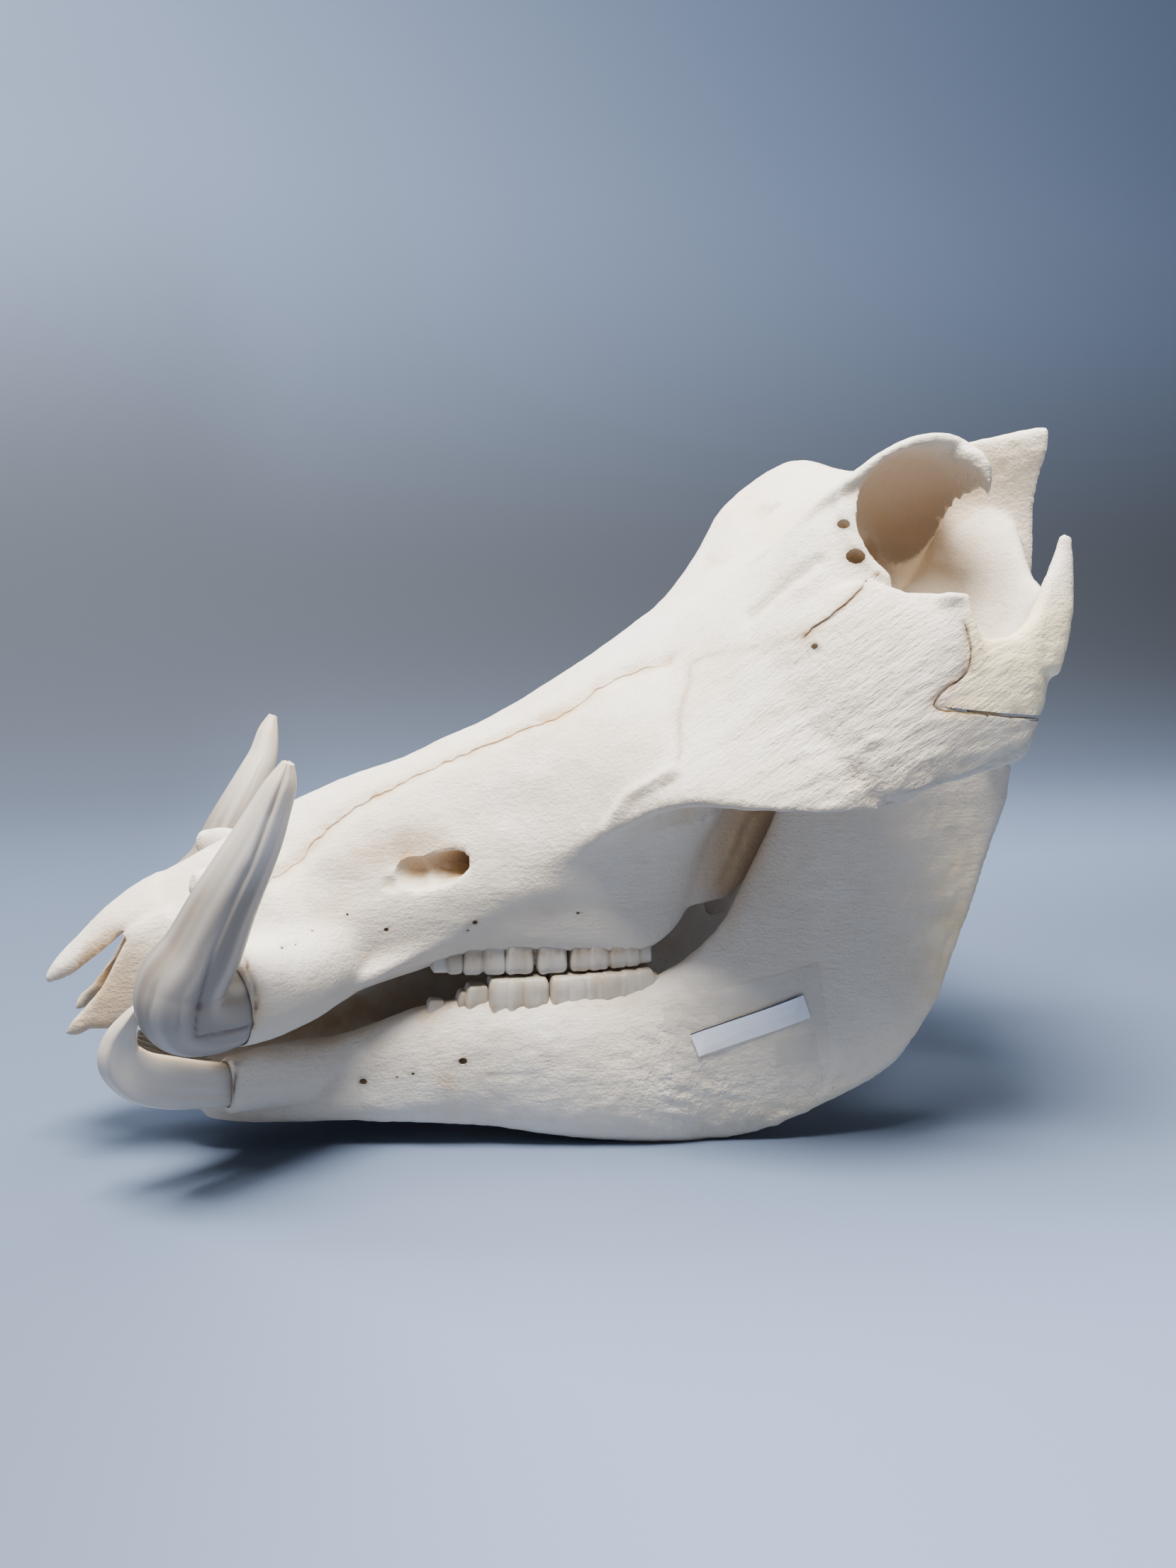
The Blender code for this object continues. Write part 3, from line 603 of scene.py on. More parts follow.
def scatter_tree() -> bpy.types.NodeTree:
    """A geometry tree that puts a sized and turned form, a pore or an enamel column, at every point."""
    tree = bpy.data.node_groups.new("forms at points", "GeometryNodeTree")
    for name, kind, way in [("Geometry", "NodeSocketGeometry", "INPUT"),
                            ("Form", "NodeSocketObject", "INPUT"),
                            ("Material", "NodeSocketMaterial", "INPUT"),
                            ("Geometry", "NodeSocketGeometry", "OUTPUT")]:
        tree.interface.new_socket(name, in_out=way, socket_type=kind)
    w = Tree(tree)
    given = w.node("NodeGroupInput").outputs
    form = w.node("GeometryNodeObjectInfo")
    w.feed(form.inputs["Object"], given["Form"])
    placed = w.node("GeometryNodeInstanceOnPoints")
    w.feed(placed.inputs["Points"], given["Geometry"])
    w.feed(placed.inputs["Instance"], form.outputs["Geometry"])
    for name, socket in [("turn", "Rotation"), ("girth", "Scale")]:
        read = w.node("GeometryNodeInputNamedAttribute", data_type="FLOAT_VECTOR")
        read.inputs["Name"].default_value = name
        w.feed(placed.inputs[socket], read.outputs["Attribute"])
    finish_tree(w, placed.outputs["Instances"], given["Material"])
    return tree


def finish_tree(w: Tree, made: bpy.types.NodeSocket, material: bpy.types.NodeSocket) -> None:
    """Ends a geometry tree with its copies made real and its material set."""
    real = w.node("GeometryNodeRealizeInstances")
    w.feed(real.inputs["Geometry"], made)
    painted = w.node("GeometryNodeSetMaterial")
    w.feed(painted.inputs["Geometry"], real.outputs["Geometry"])
    w.feed(painted.inputs["Material"], material)
    w.feed(w.node("NodeGroupOutput").inputs["Geometry"], painted.outputs["Geometry"])


def grown(obj: bpy.types.Object, tree: bpy.types.NodeTree, **values: object) -> bpy.types.Object:
    """Runs a geometry tree on the object and keeps the result as a plain mesh.

    Args:
        obj: the mesh that the tree starts from.
        tree: the geometry tree.
        values: the tree's inputs by name.

    Returns:
        The same object with its new mesh.
    """
    step = obj.modifiers.new("grown", "NODES")
    step.node_group = tree
    for item in tree.interface.items_tree:
        if item.in_out == "INPUT" and item.name in values:
            step[item.identifier] = values[item.name]
    apply_modifiers(obj)
    return obj


@dataclass
class Carver:
    """Cuts seams and pores into a finished bone skin, on both sides."""

    seams: bpy.types.NodeTree
    forms: bpy.types.NodeTree
    material: bpy.types.Material

    def seam(self, bone: bpy.types.Object, path: Line, width: float, wander: float = 0.5,
             sides: tuple[Side, ...] = (Side.LEFT, Side.RIGHT)) -> None:
        """Cuts a thin wandering seam along a line.

        Args:
            bone: the piece that is cut.
            path: the line on the left side.
            width: its width at the middle, in millimetres.
            wander: how far it strays from the line, in millimetres.
            sides: the sides that have it.
        """
        tree = BVHTree.FromObject(bone, bpy.context.evaluated_depsgraph_get())
        length = sum(math.dist(a, b) for a, b in zip(path[:-1], path[1:]))
        count = max(6, round(length / 0.9))
        for side in sides:
            line = spline(path, count) * (1, -side.value, 1)
            shake = np.stack([waves(line, 2.6, 31 + k) for k in range(3)], axis=1)
            line = line + wander * shake
            line = np.array([tree.find_nearest(Vector(p * MM))[0] for p in line]) / MM
            mesh = bpy.data.meshes.new("seam")
            mesh.from_pydata([tuple(p) for p in line * MM], [(i, i + 1) for i in range(count - 1)], [])
            ends = np.minimum(np.arange(count), np.arange(count)[::-1]) / count
            girth = (0.35 + 0.65 * np.clip(ends * 6, 0, 1)) * (1 + 0.35 * waves(line, 4, 7))
            mesh.attributes.new("girth", "FLOAT", "POINT").data.foreach_set("value", girth.astype(np.float32))
            tube = bpy.data.objects.new("seam", mesh)
            bpy.context.scene.collection.objects.link(tube)
            grown(tube, self.seams, Width=width * MM, Sides=7, Material=self.material)
            turned_out(tube)
            boolean(bone, tube, "DIFFERENCE")

    def pores(self, bone: bpy.types.Object, places: list[tuple[float, float, float, float]],
              mirror: bool = True) -> None:
        """Cuts small round holes that blood vessels left.

        Args:
            bone: the piece that is cut.
            places: (x, y, z, width) of each hole on the left side.
            mirror: whether the right side has them too.
        """
        tree = BVHTree.FromObject(bone, bpy.context.evaluated_depsgraph_get())
        marks, turns, girths = [], [], []
        for x, y, z, width in places:
            for sign in (1, -1) if mirror else (1,):
                spot, normal, _, _ = tree.find_nearest(Vector((x, sign * y, z)) * MM)
                marks.append(spot)
                turns.append(normal.to_track_quat("Z", "Y").to_euler())
                girths.append((width / 2, width / 2.4, 1.6 * width))
        mesh = bpy.data.meshes.new("pores")
        mesh.from_pydata(marks, [], [])
        for name, values in [("turn", turns), ("girth", girths)]:
            flat = np.array([list(v) for v in values], np.float32).ravel()
            mesh.attributes.new(name, "FLOAT_VECTOR", "POINT").data.foreach_set("vector", flat)
        cutter = bpy.data.objects.new("pores", mesh)
        bpy.context.scene.collection.objects.link(cutter)
        bpy.ops.mesh.primitive_ico_sphere_add(subdivisions=2, radius=MM)
        bead = bpy.context.object
        grown(cutter, self.forms, Form=bead, Material=self.material)
        bpy.data.objects.remove(bead)
        turned_out(cutter)
        boolean(bone, cutter, "DIFFERENCE")


@dataclass
class Cranium:
    """The upper skull with both cheekbones still on it."""

    voxel: float = BONE_VOXEL
    soften: float = 2.2
    grain: float = 0.10

    def section(self, x: float) -> np.ndarray:
        """The ring of the face at one place, through its anatomical lines."""
        top, ridge, crest = (line_at(line, x) for line in (TOP_LINE, RIDGE_LINE, CREST_LINE))
        vault, wall, gum, palate = (line_at(line, x) for line in (VAULT_LINE, WALL_LINE, GUM_LINE, PALATE_LINE))
        roof = (0.55 * ridge[0], top[1] + 0.22 * (ridge[1] - top[1]))
        upper = ridge + 0.33 * (crest - ridge) + (3, 2)
        side = ridge + 0.68 * (crest - ridge) + (3, 1)
        rim = crest + 0.25 * (vault - crest) - (0, 2)
        half = [top, roof, ridge, upper, side, crest, rim, vault, wall, gum, gum - (5, 2), gum - (11, -1),
                (0.4 * gum[0], 0.5 * (gum[1] + palate[1]) + 1), palate]
        ring = [*half, *[(-y, z) for y, z in half[-2:0:-1]]]
        yz = spline(ring, 3 * RING_POINTS, closed=True)
        return np.column_stack([np.full(len(yz), x), yz])

    def face(self) -> bpy.types.Object:
        """The snout, palate and cheeks as far back as the front of the eye sockets."""
        rings = []
        for x in np.linspace(-158, 70, 120):
            ring = self.section(x)
            ring[:, 1] *= 1 - 0.045 * np.clip((x - 44) / 20, 0, 1)
            rings.append(ring)
        return loft("face", rings)

    def nasals(self) -> bpy.types.Object:
        """The free front ends of the nasal bones."""
        return section_loft("nasals", [
            (-154, [(0, 90), (7, 88.5), (13, 84), (15, 80), (14, 74), (8, 73), (0, 74)]),
            (-162, [(0, 85.5), (7, 84), (12.5, 80.5), (14.5, 77), (14, 71.5), (8, 71), (0, 73)]),
            (-170, [(0, 79.5), (7, 78), (12, 75), (13.2, 71), (12.8, 66), (7, 66.5), (0, 68.5)]),
            (-179, [(0, 71), (5.5, 69.5), (9.5, 66.5), (10, 63), (9, 60), (4, 61), (0, 62)]),
            (-186, [(0, 63.8), (3.5, 63), (6, 60.5), (6, 58), (5, 56.5), (2.5, 57), (0, 58)]),
            (-190, [(0, 58), (1, 57.6), (1.8, 57), (2, 56), (1.6, 55.4), (0.8, 55.2), (0, 55.2)])])

    def premaxillae(self) -> list[bpy.types.Object]:
        """The two prongs that hold the upper lip, with the floor of the nose between them."""
        prong = plate_loft("prong", [
            ((-146, 24, 46), (-150, 17, 82), 10, 0),
            ((-160, 19.5, 45), (-163, 17.5, 76), 7, 0),
            ((-170, 18.5, 44), (-168, 16.5, 69), 6, 0),
            ((-176, 17, 43.5), (-172.5, 15.5, 59), 5, 0),
            ((-180, 15, 42), (-177, 14.5, 51), 4.5, 0),
            ((-184, 12.5, 41), (-182.5, 12.5, 44), 3, 0)])
        floor = section_loft("floor", [
            (-150, [(0, 52), (10, 52), (17, 52), (19, 48), (16, 45), (8, 46), (0, 46)]),
            (-166, [(0, 49), (8, 50), (15, 51), (17, 47), (15, 44.5), (8, 45), (0, 45)]),
            (-174, [(0, 46), (6, 47), (13, 48), (15, 46), (13, 44), (6, 44), (0, 43.6)])])
        return [*both_sides(prong), floor]

    def tusk_sockets(self) -> list[bpy.types.Object]:
        """The swollen sockets of the upper tusks, each with its bony flange."""
        wall = sweep("socket", [(-92, 20, 66), (-108, 31, 63.5), (-121, 40, 61), (-133.5, 48.5, 60)],
                     [(24, 24), (29, 30), (30, 31), (29, 30)], count=40, power=2.2)
        flange = sweep("flange", [(-106, 14, 84), (-121, 24, 87), (-134, 34, 90.5), (-142, 39, 93.5)],
                       [(9, 20), (11, 22), (9, 17), (5, 7)])
        swelling = ellipsoid("swelling", (-121, 28, 74), (22, 11, 17))
        return [*both_sides(wall), *both_sides(flange), *both_sides(swelling)]

    def braincase(self) -> bpy.types.Object:
        """The braincase, from between the eye sockets to the back of the head."""
        return section_loft("braincase", [
            (40, [(0, 187), (20, 187), (28, 182), (22, 165), (21, 140), (14, 112), (0, 108)]),
            (60, [(0, 198), (22, 199), (32, 196), (25, 176), (25, 150), (15, 124), (0, 120)]),
            (80, [(0, 210), (22, 212), (34, 212), (28, 192), (33, 160), (20, 132), (0, 129)]),
            (95, [(0, 218), (20, 220), (31, 221), (27, 202), (39, 168), (25, 138), (0, 135)]),
            (106, [(0, 223), (18, 225), (27, 226), (25, 206), (40, 172), (28, 140), (0, 138)]),
            (116, [(0, 226), (22, 228.5), (32, 229), (28, 208), (42, 174), (30, 142), (0, 141)]),
            (124, [(0, 226.5), (28, 230), (41, 230.5), (36, 208), (41, 180), (32, 144), (0, 144)]),
            (132.5, [(0, 227), (32, 230), (51, 232.5), (44, 207), (44, 182), (33, 146), (0, 147)])])

    def forehead(self) -> list[bpy.types.Object]:
        """The wide roof over the eye sockets and its two small processes behind the eyes."""
        def half(rim: float, top: float, middle: float) -> Line:
            """One half section of the roof."""
            return [(0, middle), (0.5 * rim, middle + 0.4 * (top - middle)), (rim - 5, top - 0.7),
                    (rim - 0.6, top), (rim, top - 3.5), (rim - 5, top - 7), (rim - 14, top - 12),
                    (24, top - 24), (0, top - 36)]
        roof = section_loft("roof", [
            (44, half(43, 196, 189)), (54, half(49, 209.5, 195)), (63, half(52, 216.5, 201)),
            (73, half(54, 224, 208)), (84, half(55.5, 228.8, 215)), (94, half(56.5, 230, 220)),
            (101, half(56.5, 227.5, 222)), (106, half(54, 222, 221))])
        process = sweep("postorbital", [(92, 46, 224), (99, 54, 224), (103, 59, 218.5), (104.5, 61.5, 209)],
                        [(9, 7), (8, 7), (7.5, 5.5), (3, 3)], up=(0, 1, 0))
        web = sweep("web", [(103, 57.5, 215), (98, 46, 214), (92, 33, 206), (88, 29, 188), (82, 28, 166)],
                    [(6, 6), (10, 18), (16, 26), (16, 16), (8, 8)])
        return [roof, *both_sides(process), *both_sides(web)]

    def arch(self) -> list[bpy.types.Object]:
        """The right cheekbone arch, with the tall spike at its rear and its root on the braincase."""
        plate = plate_loft("cheek", [
            ((26, 68, 122), (28, 42, 166), 9, 0),
            ((42, 85, 119.5), (46, 59, 178), 9, 1),
            ((56, 92.5, 119), (60, 69, 184), 9, 2.5),
            ((68, 93.5, 121), (70, 75.5, 180.5), 8.5, 3),
            ((78, 93, 123.5), (78, 82, 180), 8, 2.5),
            ((86, 92, 125), (84.5, 87, 180), 7.5, 1.5),
            ((90.5, 91.5, 126.5), (88, 89, 168), 8, 1),
            ((97, 91, 128), (94, 90, 166.5), 8, 1),
            ((105, 89, 131), (101, 88.5, 168), 9, 1),
            ((110, 86.5, 142), (108, 88, 175), 8, 0),
            ((113.5, 84, 151), (113.5, 85, 186), 6, 0)], rings=60)
        lip = sweep("lip", [(80, 84.5, 177), (83.5, 87.5, 181.5)], [(7, 7), (5, 4)], rings=6)
        spike = sweep("spike", [(108, 88, 158), (114, 86, 172), (118.5, 83, 185), (121.5, 80.3, 197.5)],
                      [(9, 17), (7.5, 14), (6, 8.5), (3, 4)], up=(1, 0, 0))
        outlines = [
            (30, [(122, 212), (127, 200), (128, 170), (120, 143), (88, 144), (98, 165), (108, 190)]),
            (42, [(124, 201), (128, 196), (128, 168), (120, 145), (93, 145.5), (102, 162), (113, 185)]),
            (54, [(124, 184), (128, 182), (127, 164), (119, 145), (97, 145.5), (105, 158), (116, 172)]),
            (66, [(121, 180), (125, 179), (124, 164), (117, 146), (100, 146), (107, 158), (115, 169)]),
            (77, [(116.5, 182), (120.5, 182), (120, 165), (114, 147), (102, 147), (108, 158), (113, 170)]),
            (86, [(112, 180), (116, 180), (117, 165), (112, 150), (103, 149), (107, 158), (109, 168)])]
        rings = []
        for y, outline in outlines:
            xz = spline(outline, 40, closed=True)
            rings.append(np.column_stack([xz[:, 0], np.full(len(xz), y), xz[:, 1]]))
        return [plate, lip, spike, loft("root", rings)]

    def base(self) -> list[bpy.types.Object]:
        """The condyles, hanging processes, ear capsules, throat wings and plates behind the last teeth."""
        condyle = ellipsoid("condyle", (134, 14, 153), (8, 9, 12))
        neck = ellipsoid("neck", (126, 0, 154), (9, 20, 14))
        hanging = sweep("paroccipital", [(122, 33, 152), (123, 33, 135), (121, 33, 121), (118, 33, 108)],
                        [(12, 14), (9, 12), (7, 9), (3, 4)], up=(1, 0, 0))
        capsule = ellipsoid("bulla", (105, 25, 131), (13, 9, 14))
        wing = plate_loft("pterygoid", [
            ((12, 22, 104), (52, 20, 124), 9, 0),
            ((20, 20, 92), (47, 19, 108), 7, 0),
            ((25, 18.5, 80), (41, 18, 88), 5.5, 0),
            ((28, 18, 69), (36, 18, 70), 4, 0)], rings=20)
        tuber = plate_loft("tuber", [
            ((6, 35, 108), (55, 41, 132), 7, 0),
            ((8, 35, 98), (47, 40, 110), 6, 0),
            ((10, 35, 86), (39, 38.5, 92), 5, 0),
            ((12, 35, 76), (31, 37, 79.5), 3.5, 0)], rings=24)
        return [*both_sides(condyle), neck, *both_sides(hanging), *both_sides(capsule), *both_sides(wing),
                *both_sides(tuber)]

    def open_up(self, skull: bpy.types.Object) -> None:
        """Opens the eye sockets, nose, throat, brain passage and the hollow at the back of the head."""
        slit = [(-160.5, 77.3), (-166, 67), (-171.5, 57), (-178, 48.5), (-192, 39), (-195, 50), (-187, 54.8),
                (-179, 60.6), (-170, 69)]
        cutters = [
            side_prism("nose_slit", slit, -30, 30),
            sweep("nose", [(-200, 0, 42), (-184, 0, 48), (-172, 0, 57), (-160, 0, 61.5), (-135, 0, 66),
                           (-105, 0, 80)],
                  [(20, 14), (21, 15), (23, 18), (25, 20), (21, 22), (8, 10)], rings=40, power=2.6),
            sweep("throat", [(70, 0, 104), (48, 0, 104), (28, 0, 100), (8, 0, 104)],
                  [(30, 34), (27, 28), (24, 24), (10, 12)], power=2.6),
            ellipsoid("brain", (134, 0, 160), (26, 11, 8)),
            ellipsoid("hollow", (154, 0, 196), (30, 34, 24)),
            *both_sides(ellipsoid("orbit", (84.5, 76, 203.6), (23.3, EYE_DEPTH, 24.4))),
            *both_sides(ellipsoid("pit", (-82.5, 38.5, 89.3), (6.5, 7, 4.8))),
            *both_sides(ellipsoid("deep_pit", (-74, 37.5, 92), (8, 9, 6))),
            *both_sides(sweep("infraorbital", [(-105, 50, 88.5), (-88, 43.5, 90), (-73, 37.5, 92.4),
                                               (-50, 29, 96)],
                              [(10, 9), (12, 11.5), (12, 12.5), (6, 6)], rings=30))]
        for cutter in cutters:
            boolean(skull, cutter, "DIFFERENCE")

    def sculpt(self, skull: bpy.types.Object) -> None:
        """Gives the smooth skin the relief of real bone: ripples, soft grooves, swellings and scars."""
        p = coords(skull)
        n = normals_of(skull)
        fold = p * (1, 0, 1) - np.abs(p) * (0, 1, 0)
        rise = 0.45 * waves(p, 17, 1) + 0.2 * waves(p, 6, 2) + self.grain * waves(p, 2.2, 3)
        rise -= 1.3 * np.exp(-(distance_to(p, NASAL_SEAM) / 3.2) ** 2)
        rise -= 1.3 * np.exp(-(distance_to(p, LACRIMAL_GROOVE) / 2.6) ** 2)
        rise -= 0.35 * np.exp(-(distance_to(p, CHEEK_SEAM) / 2.2) ** 2)
        rise -= 0.45 * np.exp(-(distance_to(p, ARCH_SEAM) / 1.6) ** 2)
        cheek = near(p, (55, -92, 128), (42, 26, 16))
        rise += 0.6 * cheek * waves(stretched(p, (1, 0, 0.35), 3.0), 2.6, 11)
        strands = waves(stretched(p, (1, -0.3, 0.62), 9.0), 1.9, 12)
        rise += 0.36 * near(p, (50, -80, 150), (50, 40, 34)) * strands
        rise += 1.5 * np.exp(-(distance_to(p, CREST_END) / 2.4) ** 2)
        rise -= 1.8 * near(p, (14, -58, 113), (12, 16, 5))
        rise += 1.1 * np.exp(-(distance_to(p, RAGGED_EDGE) / 1.3) ** 2) * (0.6 + waves(p, 2.2, 13))
        rise -= 0.9 * np.exp(-(distance_to(p, REAR_CRACK) / 1.4) ** 2)
        rise += 0.8 * near(p, (-181, -13, 46), (8, 8, 9)) * waves(stretched(p, (1, 0, 0.8), 3.0), 2.4, 17)
        rise -= 0.6 * np.exp(-(distance_to(p, SOCKET_CRACK) / 0.9) ** 2)
        rise -= 2.6 * near(p, (-80, -36, 99), (9, 9, 7))
        rise -= 1.2 * near(p, (-50, -38, 112), (26, 12, 8))
        rise -= 1.0 * near(p, (-96, -34, 90), (12, 10, 7))
        rise += 0.8 * near(p, (-40, -40, 86), (28, 12, 5))
        rim = np.abs(np.hypot(fold[:, 0] - 84.5, fold[:, 2] - 203.6) - 25.4)
        side_on = np.clip((-fold[:, 1] - 44) / 8, 0, 1)
        rise += 0.55 * np.exp(-(rim / 1.9) ** 2) * side_on * (1 + 0.5 * waves(p, 2.8, 14))
        rise += 0.5 * near(p, (120, -45, 222), (10, 14, 10)) * waves(p, 2.6, 15)
        rise += 0.25 * near(p, (100, -90, 158), (18, 16, 22)) * waves(stretched(p, (1, 0, 0.2), 2.5), 1.8, 16)
        move_to(skull, p + n * rise[:, None])

    def ease(self, skull: bpy.types.Object) -> None:
        """Melts the tusk sockets into the snout, and the cheekbone's crest into the face."""
        p = coords(skull)
        share = near(p, (-110, -38, 82), (19, 22, 13)) + 0.7 * near(p, (-60, -38, 92), (30, 12, 9))
        fold = p * (1, 0, 1) - np.abs(p) * (0, 1, 0)
        share = np.clip(1.4 * share, 0, 1) * (fold[:, 0] > -132)
        relaxed(skull, share, round(70 * (0.95 / self.voxel) ** 2))

    def build(self) -> bpy.types.Object:
        """The whole upper skull, fused, opened and sculpted."""
        pieces = [self.face(), self.nasals(), self.braincase(), *self.premaxillae(), *self.tusk_sockets(),
                  *self.forehead(), *self.base()]
        for piece in self.arch():
            pieces += both_sides(piece)
        skull = joined("cranium_bone", pieces)
        fuse(skull, self.voxel, self.soften)
        self.ease(skull)
        self.open_up(skull)
        fuse(skull, self.voxel, 0.8)
        self.sculpt(skull)
        thin_out(skull, CRANIUM_FACES)
        return skull


@dataclass
class LowerJaw:
    """The lower jaw, both halves in one piece."""

    voxel: float = BONE_VOXEL
    soften: float = 2.0
    grain: float = 0.10

    def half(self) -> list[bpy.types.Object]:
        """The right half: body, ramus, coronoid and condyle, as a fan of sections."""
        body = plate_loft("jaw", [
            ((-141, 13, 10.5), (-139, 15, 29), 12, 0),
            ((-130, 16, 9), (-130, 17, 32.5), 15, 0),
            ((-117, 18, 8.4), (-117, 18.5, 33.5), 16, 0),
            ((-95, 21, 7.7), (-95, 19.5, 37.5), 16, 0),
            ((-72, 25, 7), (-72, 24.5, 45.8), 17, 1),
            ((-50, 29, 5), (-50, 29.5, 50), 18, 2),
            ((-27, 35, 1.8), (-27, 33.5, 50.5), 18.5, 2.5),
            ((-4, 40, -0.8), (-4, 37.5, 52), 18, 3),
            ((17, 43.5, -1.4), (12, 41, 60), 16, 3),
            ((35, 49, 2), (23, 46, 73), 13, 2),
            ((55, 55, 12), (29, 49, 87), 11, 1),
            ((76, 60, 24), (35, 51, 100), 9.5, 0),
            ((89.5, 62, 42), (40, 52.5, 113), 8.5, 0),
            ((98.5, 61, 62), (45, 53.5, 128), 7.5, 0),
            ((105, 60.5, 80), (55, 55.5, 137), 7, 0),
            ((111, 60, 98), (70, 58, 130), 7, 0),
            ((115.5, 60.5, 112), (88, 59, 128), 8, 0),
            ((117.5, 60, 123), (101, 59, 134), 11, 0)], rings=110)
        condyle = sweep("jaw_condyle", [(109, 45, 133.5), (109, 55, 136), (109, 64, 136), (108.5, 71, 134)],
                        [(11, 7), (13, 10), (13, 10), (10, 6)])
        coronoid = sweep("coronoid", [(56, 54, 122), (53, 54.5, 134), (52, 55, 143)],
                         [(6, 22), (5.5, 15), (3, 6)], up=(1, 0, 0), rings=10)
        return [body, condyle, coronoid]

    def chin(self) -> list[bpy.types.Object]:
        """The fused front of the lower jaw, with the sockets of its tusks."""
        chin = section_loft("chin", [
            (-147, [(0, 25), (8, 26), (15, 27), (18, 22), (14, 17), (7, 15.5), (0, 15)]),
            (-138, [(0, 26), (9, 27.5), (18, 30), (22, 20), (17, 11), (8, 9.5), (0, 9.5)]),
            (-118, [(0, 25), (9, 27), (18, 32), (24, 20), (18, 9.5), (8, 9), (0, 9)]),
            (-95, [(0, 24), (9, 26), (17, 34), (24, 20), (19, 9), (8, 9), (0, 9.5)]),
            (-80, [(0, 20), (8, 21), (14, 27), (20, 20), (17, 10), (8, 10), (0, 12)]),
            (-74, [(0, 17), (5, 17.5), (10, 20), (14, 17), (12, 12), (6, 12), (0, 14)])])
        socket = sweep("low_socket", [(-104, 19, 24), (-118, 24, 26), (-134.5, 32, 27)],
                       [(16, 24), (16, 21), (13.5, 18.5)], rings=10)
        return [chin, *both_sides(socket)]

    def sculpt(self, jaw: bpy.types.Object) -> None:
        """Gives the jaw its muscle scars, ripples, thickened rear rim and soft hollows."""
        p = coords(jaw)
        n = normals_of(jaw)
        rise = 0.45 * waves(p, 15, 21) + 0.18 * waves(p, 5, 22) + self.grain * waves(p, 2.0, 23)
        rise += 0.24 * near(p, (-25, -42, 26), (42, 30, 18)) * waves(stretched(p, (1, 0, 0.12), 5.0), 2.2, 24)
        rise += 0.38 * near(p, (8, -48, 22), (18, 30, 24)) * waves(stretched(p, (1, 0, -0.4), 3.0), 2.4, 25)
        rise += 0.5 * near(p, (40, -56, 8), (26, 20, 7)) * waves(p, 3.2, 26)
        rise += 0.8 * np.exp(-(distance_to(p, [(42, -55, 6), (66, -60, 17), (85, -63, 34), (96, -62, 55),
                                               (104, -61, 76), (111, -61, 98), (116, -61, 112)]) / 4.5) ** 2)
        rise -= 1.0 * near(p, (55, -58, 62), (28, 30, 30))
        rise -= 0.5 * near(p, (-104, -27, 22), (22, 12, 6))
        rise += 0.32 * near(p, (92, -62, 70), (16, 16, 40)) * waves(stretched(p, (0.4, 0, 1), 3.0), 2.2, 27)
        moved = p + n * rise[:, None]
        moved[:, 2] = np.maximum(moved[:, 2], 0.0)
        move_to(jaw, moved)

    def build(self) -> bpy.types.Object:
        """The whole lower jaw, fused and sculpted."""
        pieces = self.chin()
        for piece in self.half():
            pieces += both_sides(piece)
        jaw = joined("jaw_bone", pieces)
        fuse(jaw, self.voxel, self.soften)
        self.sculpt(jaw)
        thin_out(jaw, JAW_FACES)
        return jaw


class Row(Enum):
    """The two rows of cheek teeth."""

    UPPER = "upper"
    LOWER = "lower"


